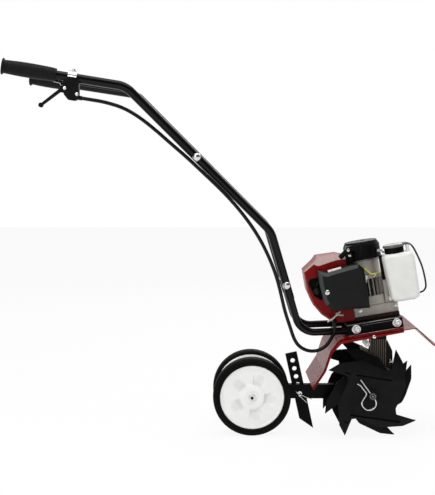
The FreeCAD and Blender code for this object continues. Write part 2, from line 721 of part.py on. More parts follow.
def throttle_housing():
    """Clamp round the right upper tube with the trigger housing below it."""
    at = handle_points(-1)
    clamp = Part.makeCylinder(CLAMP_RADIUS, CLAMP_WIDTH, V(-CLAMP_WIDTH / 2, 0, 0), V(1, 0, 0))
    half = HOUSING_WIDTH / 2
    front = HOUSING_LENGTH / 2
    nose = (front - 2 + HOUSING_SLANT, CABLE_EXIT_Z - HOUSING_NOSE)
    body = side_prism([(-front - 2, 0), (front - 2, 0), nose, (front - 4, -HOUSING_DROP),
                       (-2, -HOUSING_DROP), (4 - front, -HOUSING_DROP + 11), (-front - 2, -HOUSING_SHOULDER)],
                      -half, half, HOUSING_ROUND)
    ferrule = rod_between(V(front - 4, 0, CABLE_EXIT_Z), V(CABLE_EXIT_X, 0, CABLE_EXIT_Z), FERRULE_RADIUS)
    slot = box(-40, -2, -LEVER_THICKNESS / 2, LEVER_THICKNESS / 2, -50, -16)
    housing = throttle_place(fuse(clamp, body, ferrule).cut(slot))
    return housing.cut(rod_between(at["grip"], at["upper"], TUBE_RADIUS + SLIP_FIT))


def throttle_lever():
    """Trigger in the slot of its housing, with a round finger end."""
    half = LEVER_THICKNESS / 2
    tip = [(LEVER_KNOB_X - LEVER_TIP, LEVER_KNOB_Z + LEVER_TIP),
           (LEVER_KNOB_X + LEVER_TIP, LEVER_KNOB_Z - LEVER_TIP)]
    blade = side_prism([(-3, -19), (-22, -25)] + tip + [(-24, -40), (-3, -40)], -half, half)
    knob = rod_y(LEVER_KNOB_X, LEVER_KNOB_Z, -LEVER_KNOB_HALF, LEVER_KNOB_HALF, LEVER_KNOB_RADIUS)
    return throttle_place(fuse(blade, knob))


def smooth_radii(points):
    """Arc radius at each corner of a cable's route: as large as its two runs allow."""
    radii = []
    for before, corner, after in zip(points, points[1:], points[2:]):
        turn = (corner - before).getAngle(after - corner)
        shorter = min((corner - before).Length, (after - corner).Length)
        radii.append(0.45 * shorter / math.tan(turn / 2))
    return radii


CABLE_ROUTE = [(-276, -206, 858), (-229, -202, 844), (-188, -196, 819), (-150, -189, 788),
               (-114, -181, 756), (-78, -174, 725), (-42, -167, 691), (-7, -160, 658), (27, -153, 624),
               (59, -145, 587), (88, -137, 548), (113, -130, 507), (134, -122, 463), (151, -116, 418),
               (163, -109, 371), (171, -105, 336), (179, -102, 310), (188, -99, 284), (196, -97, 259),
               (209, -95, 238), (231, -93, 225.5), (256, -91, 224.5), (278.5, -90, 235.5), (292.5, -90, 255)]


def throttle_cable():
    """Sheathed throttle cable from the housing to its stop beside the engine."""
    start = throttle_point(CABLE_EXIT_X, CABLE_EXIT_Z)
    ahead = throttle_point(CABLE_EXIT_X + CABLE_FIRST_RUN, CABLE_EXIT_Z)
    end = V(STOP_X, STOP_Y, STOP_Z - STOP_FERRULE)
    points = [start, ahead] + [V(*place) for place in CABLE_ROUTE] + [end - V(0, 0, CABLE_LAST_RUN), end]
    radii = smooth_radii(points)
    print("throttle cable radii", [round(radius) for radius in radii])
    return faceted_wire(points, radii, CABLE_RADIUS, CABLE_SIDES)


def cable_stop():
    """Slim bracket on the shroud that holds the lower end of the throttle cable."""
    half = FERRULE_RADIUS
    shelf = box(STOP_X - half, STOP_X + half, STOP_Y, -SHROUD_HALF, STOP_Z, STOP_Z + STOP_SHEET)
    leg = box(STOP_X - half, STOP_X + half, -SHROUD_HALF - STOP_SHEET, -SHROUD_HALF, STOP_Z, STOP_Z + STOP_LEG)
    return fuse(shelf, leg, rod_z(STOP_X, STOP_Y, STOP_Z - STOP_FERRULE, STOP_Z + STOP_SHEET, FERRULE_RADIUS))


# ================================================================ frame, guard, gearbox, bracket
def engine_frame():
    """Pressed steel pan that carries the engine on top and the two lower tubes inside its side flanges."""
    outer = LOWER_TUBE_Y + LOWER_TUBE_RADIUS + SLIP_FIT + FRAME_SHEET
    pan = box(FRAME_REAR, FRAME_FRONT, -outer, outer, -FRAME_DEPTH, 0)
    pan = fillet_edges(pan, 2 * FRAME_SHEET,
                       lambda edge: runs_along(edge, V(1, 0, 0)) and edge.CenterOfMass.z > -1)
    inner = outer - FRAME_SHEET
    hollow = box(FRAME_REAR - 1, FRAME_FRONT + 1, -inner, inner, -FRAME_DEPTH - 1, -FRAME_SHEET)
    hollow = fillet_edges(hollow, FRAME_SHEET,
                          lambda edge: runs_along(edge, V(1, 0, 0)) and edge.CenterOfMass.z > -FRAME_SHEET - 1)
    pad = box(PAD_REAR, PAD_FRONT, -PAD_HALF, PAD_HALF, -0.5 * FRAME_SHEET, PAD_HEIGHT)
    return seat_on_frame(fuse(pan.cut(hollow), pad))


GUARD_REAR_LINE = [(243.0, 132.0), (272.0, 178.0), (288.0, 228.0)]
GUARD_FRONT_LINE = [(553.0, 245.0), (561.0, 245.0)]


def guard_line():
    """Side-view line of the guard: rear apron, flat top, front apron and lip."""
    top = [frame_point(GUARD_REAR, 0, -FRAME_DEPTH), frame_point(GUARD_FRONT, 0, -FRAME_DEPTH)]
    return [V(x, 0, z) for x, z in GUARD_REAR_LINE] + top + [V(x, 0, z) for x, z in GUARD_FRONT_LINE]


def lowered(line, depths):
    """The line moved square to each run, towards the tines, by that run's own depth."""
    runs = [(end - start).normalize() for start, end in zip(line, line[1:])]
    squares = [V(run.z, 0, -run.x) for run in runs]
    moved = [line[0] + squares[0] * depths[0]]
    for i in range(1, len(runs)):
        bend = runs[i - 1].x * runs[i].z - runs[i - 1].z * runs[i].x
        if abs(bend) < 1e-6:
            moved.append(line[i] + squares[i] * depths[i])
            continue
        start = line[i] + squares[i - 1] * depths[i - 1]
        gap = line[i] + squares[i] * depths[i] - start
        moved.append(start + runs[i - 1] * ((gap.x * runs[i].z - gap.z * runs[i].x) / bend))
    return moved + [line[-1] + squares[-1] * depths[-1]]


def guard_band(depths, y0, y1, inner_round):
    """Band under the guard's line between two y; the inside corner of its rear fold is rounded."""
    line = guard_line()
    under = lowered(line, depths)
    corners = [V(p.x, y0, p.z) for p in line + under[::-1]]
    radii = [0] * len(corners)
    radii[len(line) + len(under) - 1 - len(GUARD_REAR_LINE)] = inner_round
    return rounded_face(corners, radii).extrude(V(0, y1 - y0, 0))


def tine_guard():
    """Folded steel sheet over the tines, with a lip down each side."""
    runs = len(guard_line()) - 1
    rear_runs = len(GUARD_REAR_LINE)
    sheet = guard_band([GUARD_SHEET] * runs, -GUARD_HALF, GUARD_HALF, GUARD_ARC)
    depths = [GUARD_REAR_LIP] * rear_runs + [GUARD_LIP] * (runs - rear_runs)
    lip = guard_band(depths, -GUARD_HALF, -GUARD_HALF + GUARD_SHEET, GUARD_LIP_ROUND)
    return fuse(sheet, lip, mirrored(lip))


def gearbox():
    """Worm gearbox: ribbed worm housing under the guard, slanting split flange, gear case round the shaft."""
    below = -FRAME_DEPTH - GUARD_SHEET
    rear = V(SPLIT_REAR[0], 0, SPLIT_REAR[1])
    front = V(SPLIT_FRONT[0], 0, SPLIT_FRONT[1])
    slope = (front - rear).normalize()
    square = V(-slope.z, 0, slope.x)
    run = slope.z / slope.x
    mount_z = frame_point(0, 0, below - MOUNT_FLANGE / 2).z
    outline = [(WORM_REAR_X, rear.z + (WORM_REAR_X - rear.x) * run), (WORM_FRONT_X, front.z),
               (WORM_FRONT_X, WORM_SHOULDER_Z), (WORM_NECK_X, WORM_NECK_Z), (WORM_NECK_X, mount_z),
               (WORM_REAR_X, mount_z)]
    housing = side_prism(outline, -WORM_HALF, WORM_HALF)
    for i in range(int((WORM_NECK_X - WORM_REAR_X) / WORM_RIB_PITCH) + 1):
        x = WORM_REAR_X + i * WORM_RIB_PITCH
        foot = rear.z + (x - rear.x) * run
        housing = housing.fuse(box(x, x + WORM_RIB, -WORM_RIB_HALF, WORM_RIB_HALF, foot, WORM_NECK_Z))
    flange = [rear, front, front - square * SPLIT_FLANGE, rear - square * SPLIT_FLANGE]
    flange = side_prism([(p.x, p.z) for p in flange], -SPLIT_HALF, SPLIT_HALF)
    axle = V(TINE_X, 0, TINE_Z)
    low_rear = rear - square * (SPLIT_FLANGE - 1) + slope * SPLIT_FLANGE
    low_front = front - square * (SPLIT_FLANGE - 1) - slope * SPLIT_FLANGE
    cheek = [low_rear, low_front, tangent_point(low_front, axle, GEAR_CASE_RADIUS, 1), axle,
             tangent_point(low_rear, axle, GEAR_CASE_RADIUS, -1)]
    cheek = side_prism([(p.x, p.z) for p in cheek], -GEAR_CASE_CHEEK, GEAR_CASE_CHEEK)
    mount = seat_on_frame(rod_z(0, 0, below - MOUNT_FLANGE, below, MOUNT_FLANGE_RADIUS))
    case = rod_y(TINE_X, TINE_Z, -GEAR_CASE_HALF, GEAR_CASE_HALF, GEAR_CASE_RADIUS)
    bearing = rod_y(TINE_X, TINE_Z, -BEARING_HALF, BEARING_HALF, BEARING_RADIUS)
    lug = box(BRACKET_FRONT - LUG_LENGTH, TINE_X, -LUG_HALF, LUG_HALF, BRACKET_BOTTOM, BRACKET_TOP)
    bore = rod_y(TINE_X, TINE_Z, -BEARING_HALF - 1, BEARING_HALF + 1, SHAFT_RADIUS + RUNNING_FIT)
    return fuse(housing, mount, flange, cheek, case, bearing, lug).cut(bore)


def clutch_housing():
    """Clutch drum housing between the frame's top and the guard."""
    return seat_on_frame(rod_z(0, 0, -FRAME_DEPTH, -FRAME_SHEET, CLUTCH_RADIUS))


def wheel_bracket():
    """Two side plates from the gearbox lug to the axle tube, with room for the drag stake between them."""
    plates = []
    tail = WHEEL_X - BRACKET_TAIL_OVERHANG
    wide = WHEEL_X + BRACKET_TAPER
    outline = [(tail, WHEEL_Z - BRACKET_TAIL), (wide, BRACKET_BOTTOM), (BRACKET_FRONT, BRACKET_BOTTOM),
               (BRACKET_FRONT, BRACKET_TOP), (wide, BRACKET_TOP), (tail, WHEEL_Z + BRACKET_TAIL)]
    for side in (-1, 1):
        y = sorted((side * LUG_HALF, side * (LUG_HALF + BRACKET_PLATE)))
        plates.append(side_prism(outline, y[0], y[1]))
    tube = rod_y(WHEEL_X, WHEEL_Z, -AXLE_TUBE_HALF, AXLE_TUBE_HALF, AXLE_TUBE_RADIUS)
    bracket = fuse(plates[0], plates[1], tube)
    reach = AXLE_TUBE_HALF + 1
    bracket = bracket.cut(rod_y(WHEEL_X, WHEEL_Z, -reach, reach, AXLE_RADIUS + SLIP_FIT))
    width = LUG_HALF + BRACKET_PLATE + 1
    return bracket.cut(rod_y(STAKE_PIN_X, STAKE_PIN_Z, -width, width, STAKE_HOLE_RADIUS))


def drag_stake():
    """Flat bar with a row of depth holes and an angled lower end."""
    half = STAKE_WIDTH / 2
    outline = [(-half, STAKE_TOP), (half, STAKE_TOP), (half, -STAKE_BOTTOM), (-half, -STAKE_BOTTOM + STAKE_CUT)]
    thick = LUG_HALF - SIDE_PLAY
    bar = side_prism(outline, -thick, thick)
    for i in range(STAKE_HOLES_ABOVE + 1):
        bar = bar.cut(rod_y(0, i * STAKE_HOLE_PITCH, -thick - 1, thick + 1, STAKE_HOLE_RADIUS))
    bar.rotate(V(0, 0, 0), V(0, 1, 0), -STAKE_LEAN)
    bar.translate(V(STAKE_PIN_X, 0, STAKE_PIN_Z))
    return bar


def stake_pin():
    """Clevis pin that sets the stake's depth."""
    outside = LUG_HALF + BRACKET_PLATE
    shank = rod_y(STAKE_PIN_X, STAKE_PIN_Z, -outside - PIN_TAIL, outside + PIN_HEAD,
                  STAKE_HOLE_RADIUS - SLIP_FIT)
    head = rod_y(STAKE_PIN_X, STAKE_PIN_Z, outside, outside + PIN_HEAD, PIN_HEAD_RADIUS)
    return fuse(shank, head)


# ================================================================ engine
def crankcase():
    """Aluminium crankcase: foot, case block, ribbed middle, collar and neck up to the starter."""
    foot = box(CASE_REAR, FOOT_FRONT, -FOOT_HALF, FOOT_HALF, PAD_HEIGHT, FOOT_TOP)
    case = box(CASE_REAR, CASE_FRONT, -CASE_HALF, CASE_HALF, FOOT_TOP, CASE_TOP)
    blocks = [fillet_edges(part, CASE_ROUND,
                           lambda edge: runs_along(edge, V(0, 0, 1)) and edge.CenterOfMass.x > 0)
              for part in (foot, case)]
    core = rod_z(0, 0, CASE_TOP, FIN_TOP, FIN_CORE_RADIUS)
    collar = rod_z(0, 0, FIN_TOP, COLLAR_TOP, COLLAR_RADIUS)
    neck = rod_z(0, 0, COLLAR_TOP, NECK_TOP, NECK_RADIUS)
    seat = box(-COLLAR_RADIUS - SHELL_GAP, 0, -CYLINDER_RADIUS, CYLINDER_RADIUS,
               CASE_TOP, NECK_TOP - CASE_ROUND)
    whole = blocks[0].fuse(blocks[1:] + [core, collar, neck, seat])
    for i in range(FIN_COUNT):
        fin = box(FIN_CORE_RADIUS - 1, FIN_RADIUS, -FIN_THICKNESS / 2, FIN_THICKNESS / 2, CASE_TOP, FIN_TOP)
        fin.rotate(V(0, 0, 0), V(0, 0, 1), (i + 0.5) * 360 / FIN_COUNT)
        whole = whole.fuse(fin)
    lug_y = TANK_INNER_Y - TANK_ROUND - TANK_LUG_REACH
    for z in TANK_LUGS:
        whole = whole.fuse(box(TANK_LUG_REAR, TANK_REAR, lug_y, TANK_LUG_INNER_Y, z, z + TANK_LUG_HEIGHT))
    return seat_on_frame(whole.removeSplitter())


def recoil_starter():
    """Black starter cover: drum with a bevelled top, slots round it and a snout for the rope."""
    body = turned_upright([(0, NECK_TOP), (STARTER_RADIUS, NECK_TOP), (STARTER_RADIUS, STARTER_SHOULDER),
                           (STARTER_TOP_RADIUS, STARTER_TOP), (0, STARTER_TOP)])
    for i in range(SLOT_COUNT):
        slot = box(STARTER_RADIUS - SLOT_DEPTH, STARTER_RADIUS + 1, -SLOT_WIDTH / 2, SLOT_WIDTH / 2,
                   SLOT_LOW, SLOT_HIGH)
        slot.rotate(V(0, 0, 0), V(0, 0, 1), (i + 0.5) * 360 / SLOT_COUNT)
        body = body.cut(slot)
    top = SNOUT_BOTTOM + SNOUT_HEIGHT
    snout = side_prism([(-10, SNOUT_BOTTOM), (-SNOUT_REACH + 6, SNOUT_BOTTOM), (-SNOUT_REACH, SNOUT_BOTTOM + 5),
                        (-SNOUT_REACH + 3, top), (-10, top)], SNOUT_OUTER_Y, SNOUT_INNER_Y)
    return seat_on_frame(fuse(body, snout))


def starter_handle():
    """Pull handle parked beside the starter's snout, on the rope's ferrule."""
    ends = [V(x, GRIP_BAR_Y, z) for x, z in GRIP_BAR_ENDS]
    bar = rod_between(ends[0], ends[1], GRIP_BAR_RADIUS)
    rims = [edge for edge in bar.Edges if isinstance(edge.Curve, Part.Circle)]
    bar = bar.makeChamfer(0.3 * GRIP_BAR_RADIUS, rims)
    middle = SNOUT_BOTTOM + SNOUT_HEIGHT / 2
    ferrule = rod_y(-SNOUT_REACH + 6, middle - 3, GRIP_BAR_Y, SNOUT_OUTER_Y, 0.5 * GRIP_BAR_RADIUS)
    return seat_on_frame(fuse(bar, ferrule))


def shroud_outline():
    """Side-view outline of the red cylinder shroud, about the crank line."""
    front = CASE_REAR - SHELL_GAP
    return [(SHROUD_FOOT, 0), (-108, 6), (-135, 32), (-152, 60), (-162, 98), (-162.6, 150), (-133, 170),
            (-122, SHROUD_TOP + 1), (-70, SHROUD_TOP), (front, SHROUD_FRONT_TOP), (front, 0)]


def cylinder_shroud():
    """Red shroud round the cylinder, open towards the crankcase, with a window for the plug lead."""
    outline = shroud_outline()
    outer = side_prism(outline, -SHROUD_HALF, SHROUD_HALF)
    behind_mouth = CASE_REAR - SHROUD_ROUND
    outer = fillet_edges(outer, SHROUD_ROUND,
                         lambda edge: edge.CenterOfMass.x < behind_mouth and not runs_along(edge, V(0, 1, 0)))
    inner = SHROUD_HALF - SHROUD_WALL
    hollow = side_prism(inset(outline, SHROUD_WALL), -inner, inner)
    mouth = box(CASE_REAR - 10, CASE_REAR, -inner, inner, SHROUD_WALL, SHROUD_FRONT_TOP - SHROUD_WALL)
    window = side_prism(PLUG_WINDOW, -SHROUD_HALF - 1, -inner + 1, PLUG_WINDOW_ROUND)
    return seat_on_frame(outer.cut(hollow).cut(mouth).cut(window))


def cylinder():
    """Finned cylinder lying rearwards from the crankcase."""
    root = -COLLAR_RADIUS - SHELL_GAP
    barrel = box(root - CYLINDER_LENGTH, root, -CYLINDER_RADIUS, CYLINDER_RADIUS,
                 CYLINDER_Z - CYLINDER_RADIUS, CYLINDER_Z + CYLINDER_RADIUS)
    barrel = fillet_edges(barrel, 0.5 * CYLINDER_RADIUS, lambda edge: runs_along(edge, V(1, 0, 0)))
    for i in range(CYLINDER_FINS):
        x = root - (i + 1.2) * CYLINDER_FIN_PITCH
        barrel = barrel.fuse(box(x, x + CYLINDER_FIN, -CYLINDER_FIN_HALF, CYLINDER_FIN_HALF,
                                 CYLINDER_Z - CYLINDER_FIN_HALF, CYLINDER_Z + CYLINDER_FIN_HALF))
    return seat_on_frame(barrel.removeSplitter())


def spark_plug_boot():
    """Plug and its rubber boot at the cylinder's end."""
    x = -COLLAR_RADIUS - SHELL_GAP - CYLINDER_LENGTH - PLUG_LENGTH
    plug = Part.makeCylinder(PLUG_RADIUS, PLUG_LENGTH, V(x, 0, CYLINDER_Z), V(1, 0, 0))
    boot = rod_y(x + 0.5 * BOOT_RADIUS, CYLINDER_Z, -BOOT_LENGTH, BOOT_RADIUS, BOOT_RADIUS)
    return seat_on_frame(fuse(plug, boot))


def cover_outline():
    """Side-view outline of the muffler guard, about the crank line."""
    return [(-129, 152), (-108, 143), (-96, 145.5), (-25, 153), (-13, 140), (-11.5, 73), (-12.3, 37),
            (-104, 45), (-121, 60), (-126.5, 77), (-130, 117)]


def muffler_guard():
    """Large charcoal moulded guard over the muffler, bevelled round its face and open on its inner side."""
    outline = cover_outline()
    outer = bevelled_slab(outline, COVER_INNER_Y, COVER_OUTER_Y, COVER_BEVEL, COVER_BEVEL_DEPTH)
    hollow = bevelled_slab(inset(outline, COVER_WALL), COVER_INNER_Y + 1, COVER_OUTER_Y + COVER_WALL,
                           COVER_BEVEL, COVER_BEVEL_DEPTH)
    guard = outer.cut(hollow)
    for x, z in COVER_BOSSES:
        guard = guard.fuse(rod_y(x, z, COVER_OUTER_Y + COVER_WALL - 0.5, -SHROUD_HALF, COVER_BOSS_RADIUS))
    return seat_on_frame(guard.removeSplitter())


def muffler():
    """Muffler box on the exhaust side of the cylinder."""
    rear, front = MUFFLER_ENDS
    low, high = MUFFLER_HEIGHTS
    inner_y = -SHROUD_HALF - MUFFLER_GAP
    body = box(rear, front, COVER_OUTER_Y + MUFFLER_GAP, inner_y, low, high)
    body = fillet_edges(body, MUFFLER_ROUND, lambda edge: runs_along(edge, V(0, 1, 0)))
    for x, z in COVER_BOSSES:
        body = body.cut(rod_y(x, z, COVER_OUTER_Y, -SHROUD_HALF, COVER_BOSS_RADIUS + SHELL_GAP))
    port = box(rear + MUFFLER_ROUND, rear + 4 * MUFFLER_ROUND, inner_y, -SHROUD_HALF,
               low + 2 * MUFFLER_ROUND, high - MUFFLER_ROUND)
    return seat_on_frame(fuse(body, port))


def fuel_tank():
    """Milky plastic tank beside the crankcase, with rounded edges."""
    tank = box(TANK_REAR, TANK_REAR + TANK_LENGTH, TANK_OUTER_Y, TANK_INNER_Y, TANK_BOTTOM,
               TANK_BOTTOM + TANK_HEIGHT)
    return seat_on_frame(tank.makeFillet(TANK_ROUND, tank.Edges))


def cap_middle():
    """Centre of the filler cap, about the crank line."""
    return TANK_REAR + CAP_PLACE * TANK_LENGTH, (TANK_OUTER_Y + TANK_INNER_Y) / 2


def fuel_cap():
    """Black cap on the tank with a wider bevelled dome."""
    x, y = cap_middle()
    low = TANK_BOTTOM + TANK_HEIGHT
    seam = low + CAP_HEIGHT
    top = seam + CAP_DOME_HEIGHT
    rim = CAP_DOME_RADIUS
    cap = turned_upright([(0, low), (CAP_RADIUS, low), (CAP_RADIUS, seam), (rim, seam),
                          (rim, top - CAP_DOME_BEVEL), (rim - CAP_DOME_BEVEL, top), (0, top)])
    cap.translate(V(x, y, 0))
    return seat_on_frame(cap)


FUEL_ROUTE = [(120, 178), (126, 168), (131, 153), (136, 136), (140.5, 117), (142.6, 97), (143.4, 79),
              (143, 63.7), (138.2, 55.3)]


def fuel_line():
    """Breather hose from the cap's dome round to the tank's front."""
    x, y = cap_middle()
    high = TANK_BOTTOM + TANK_HEIGHT + CAP_HEIGHT + CAP_DOME_HEIGHT - FUEL_LINE_DROP
    tank_front = TANK_REAR + TANK_LENGTH
    side = x + CAP_DOME_RADIUS
    places = [(side + SLIP_FIT, high), (side + FUEL_LINE_FIRST, high)] + FUEL_ROUTE
    places += [(tank_front + FUEL_LINE_FIRST, FUEL_LINE_LOW), (tank_front, FUEL_LINE_LOW)]
    points = [frame_point(px, y, pz) for px, pz in places]
    radii = smooth_radii(points)
    print("fuel line radii", [round(radius) for radius in radii])
    return faceted_wire(points, radii, FUEL_LINE_RADIUS, CABLE_SIDES)


def carburettor():
    """Carburettor on the intake side of the cylinder."""
    body = box(CARB_ENDS[0], CARB_ENDS[1], SHROUD_HALF, SHROUD_HALF + CARB_WIDTH,
               CARB_HEIGHTS[0], CARB_HEIGHTS[1])
    return seat_on_frame(fillet_edges(body, 5, lambda edge: runs_along(edge, V(0, 1, 0))))


def air_filter():
    """Black air filter box outside the carburettor."""
    y0 = SHROUD_HALF + CARB_WIDTH
    body = box(FILTER_ENDS[0], FILTER_ENDS[1], y0, y0 + FILTER_WIDTH, FILTER_HEIGHTS[0], FILTER_HEIGHTS[1])
    body = fillet_edges(body, FILTER_ROUND, lambda edge: runs_along(edge, V(0, 1, 0)))
    rim = [edge for edge in body.Edges if edge.CenterOfMass.y > y0 + FILTER_WIDTH - 1]
    return seat_on_frame(body.makeChamfer(FILTER_BEVEL, rim))


# ================================================================ the whole machine
def pieces():
    """Every node of the machine with its solid."""
    right_tyre = tyre()
    right_hub = wheel_hub()
    nodes = {
        "tyre_right": right_tyre, "tyre_left": mirrored(right_tyre),
        "wheel_hub_right": right_hub, "wheel_hub_left": mirrored(right_hub),
        "wheel_axle": wheel_axle(),
        "tine_shaft": tine_shaft(),
        "outer_tine_right": outer_tine(), "outer_tine_left": mirrored(outer_tine()),
        "inner_tine_right": inner_tine(), "inner_tine_left": mirrored(inner_tine()),
        "tine_clip_right": tine_clip(-1), "tine_clip_left": tine_clip(1),
        "handle_crossbar": handle_crossbar(),
        "throttle_housing": throttle_housing(), "throttle_lever": throttle_lever(),
        "throttle_cable": throttle_cable(), "cable_stop": cable_stop(),
        "engine_frame": engine_frame(), "tine_guard": tine_guard(), "gearbox": gearbox(),
        "clutch_housing": clutch_housing(),
        "wheel_bracket": wheel_bracket(), "drag_stake": drag_stake(), "stake_pin": stake_pin(),
        "crankcase": crankcase(), "recoil_starter": recoil_starter(), "starter_handle": starter_handle(),
        "cylinder_shroud": cylinder_shroud(), "cylinder": cylinder(), "spark_plug_boot": spark_plug_boot(),
        "muffler_guard": muffler_guard(), "muffler": muffler(),
        "fuel_tank": fuel_tank(), "fuel_cap": fuel_cap(), "fuel_line": fuel_line(),
        "carburettor": carburettor(), "air_filter": air_filter(),
    }
    for side, name in ((-1, "right"), (1, "left")):
        nodes["upper_handle_" + name] = upper_handle(side)
        nodes["middle_handle_" + name] = middle_handle(side)
        nodes["lower_handle_" + name] = lower_handle(side)
        nodes["grip_" + name] = grip(side)
    return nodes


os.makedirs("parts", exist_ok=True)
machine = pieces()
middle_x = (machine["grip_right"].BoundBox.XMin + machine["tine_guard"].BoundBox.XMax) / 2
print("origin at the middle of the overall length, x", round(middle_x, 3))
for node, solid in machine.items():
    solid.translate(V(-middle_x, 0, 0))
    solid.exportStep("parts/" + node + ".step")
    print(node, "solids", len(solid.Solids), "valid", solid.isValid(), "cm3", round(solid.Volume / 1000, 1))
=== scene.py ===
"""Mini tiller: finishes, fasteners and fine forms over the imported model.

Places are given in millimetres in the maker's frame: x forwards from the middle of the handle to the tines,
y to the machine's left, z up from the ground.  mm() gives such a place and on_engine() one on the leaning engine;
TO_MODEL turns them into metres in the model's frame.  Sides are -1 for the right and 1 for the left.
"""
import json
import math

import bmesh
import bpy
from mathutils import Matrix, Vector

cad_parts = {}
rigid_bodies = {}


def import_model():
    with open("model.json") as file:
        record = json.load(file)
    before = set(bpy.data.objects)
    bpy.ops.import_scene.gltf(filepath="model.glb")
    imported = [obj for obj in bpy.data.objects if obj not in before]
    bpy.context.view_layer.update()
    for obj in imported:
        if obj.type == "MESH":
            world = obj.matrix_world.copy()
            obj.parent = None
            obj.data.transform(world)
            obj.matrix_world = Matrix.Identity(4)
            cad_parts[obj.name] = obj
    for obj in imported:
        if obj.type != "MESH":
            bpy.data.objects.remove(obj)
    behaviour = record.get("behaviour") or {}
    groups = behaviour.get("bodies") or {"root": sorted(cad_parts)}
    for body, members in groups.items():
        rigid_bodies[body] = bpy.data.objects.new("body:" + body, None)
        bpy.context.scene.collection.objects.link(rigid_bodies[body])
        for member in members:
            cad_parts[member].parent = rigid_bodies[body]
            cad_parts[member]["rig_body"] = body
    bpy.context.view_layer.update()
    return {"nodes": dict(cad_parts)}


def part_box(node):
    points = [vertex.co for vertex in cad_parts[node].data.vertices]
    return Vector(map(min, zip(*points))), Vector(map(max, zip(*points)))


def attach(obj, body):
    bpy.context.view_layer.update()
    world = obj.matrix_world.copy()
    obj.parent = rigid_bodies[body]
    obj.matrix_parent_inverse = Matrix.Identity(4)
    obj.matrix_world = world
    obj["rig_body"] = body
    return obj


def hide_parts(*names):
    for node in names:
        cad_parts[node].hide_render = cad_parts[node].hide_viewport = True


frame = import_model()
NODES = frame["nodes"]

# ======== the maker's frame
TYRE_RADIUS = 101.6
WHEEL = Vector((89.7, 0, TYRE_RADIUS))
TINE_SHAFT = Vector((397.0, 0, 113.449))
CRANK_X = 410.0
FRAME_TOP = 304.0
TILT = math.radians(9.5)
wheel_low, wheel_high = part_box("tyre_right")
SHIFT = (wheel_low.x + wheel_high.x) * 500 - WHEEL.x

TUBE = 11.1                # radius of the upper and middle tubes
LOWER_TUBE = 9.525         # radius of the lower tubes, which run on as the frame's rails
RAIL = (72.0, -15.0)       # distance of the rails from the middle plane, and their height from the frame's top
CABLE_DIAMETER = 0.0092    # this one and the next in metres
HOSE_DIAMETER = 0.0048
WHEEL_MIDDLE = 63.0        # distance of a wheel's middle from the middle plane
WHEEL_HALF = 22.0          # half of its width
SIDES = ((-1, "right"), (1, "left"))
ACROSS = (0, 1, 0)
OUT_RIGHT = (0, -1, 0)


def mm(x, y, z):
    """Place in the maker's frame."""
    return Vector((x, y, z))


def wheel_middle(side):
    return mm(WHEEL.x, side * WHEEL_MIDDLE, WHEEL.z)


def ramp(value, start, end):
    """How far a value has gone from start to end, from 0 to 1."""
    return min(1.0, max(0.0, (value - start) / (end - start)))


def on_engine(x, y, z):
    """Place given from the crank line and the frame's top, as it stands on the leaning engine."""
    return Vector((CRANK_X + x * math.cos(TILT) - z * math.sin(TILT), y,
                   FRAME_TOP + x * math.sin(TILT) + z * math.cos(TILT)))


ENGINE_PLACE = Matrix.Translation((CRANK_X, 0, FRAME_TOP)) @ Matrix.Rotation(-TILT, 4, "Y")
TO_MODEL = Matrix.Scale(0.001, 4) @ Matrix.Translation((SHIFT, 0, 0))
SEATED = TO_MODEL @ ENGINE_PLACE


# ======== objects and nodes
def linked(name, data):
    """Object for a mesh, curve, light or camera, put in the scene."""
    item = bpy.data.objects.new(name, data)
    bpy.context.scene.collection.objects.link(item)
    return item


def mesh_of(name, form):
    """Mesh from a form, which is used up."""
    mesh = bpy.data.meshes.new(name)
    form.to_mesh(mesh)
    form.free()
    return mesh


def built(item):
    """Mesh of an object as its modifiers leave it."""
    bpy.context.view_layer.update()
    return bpy.data.meshes.new_from_object(item.evaluated_get(bpy.context.evaluated_depsgraph_get()))


def feed(tree, socket, value):
    """Set an input to a value, or link it to another node's output."""
    if isinstance(value, bpy.types.NodeSocket):
        tree.links.new(value, socket)
    else:
        socket.default_value = value


def node_of(tree, kind, *ordered, **named):
    """Node with its settings, named in small letters, and its inputs, in their order or by name."""
    node = tree.nodes.new(kind)
    for name in filter(str.islower, named):
        setattr(node, name, named[name])
    for place, value in enumerate(ordered):
        feed(tree, node.inputs[place], value)
    for name, value in named.items():
        if not name.islower():
            feed(tree, node.inputs[name.replace("_", " ")], value)
    return node


# ======== finishes
PATCH_SCALE = 40.0         # noise scales of the slow colour change and of the rubbed spots
RUB_SCALE = 260.0


def noise(tree, coordinates, scale, detail=3.0):
    return node_of(tree, "ShaderNodeTexNoise", Vector=coordinates, Scale=scale, Detail=detail).outputs["Fac"]


def spread(tree, value, low, high, start=0.3, end=0.7):
    """Value between start and end stretched to a range; most noise lies between 0.3 and 0.7."""
    return node_of(tree, "ShaderNodeMapRange", Value=value, From_Min=start, From_Max=end, To_Min=low,
                   To_Max=high).outputs["Result"]


def blend(tree, share, first, second):
    """Colour between two others."""
    mixed = node_of(tree, "ShaderNodeMix", share, data_type="RGBA")
    feed(tree, mixed.inputs[6], first)
    feed(tree, mixed.inputs[7], second)
    return mixed.outputs[2]


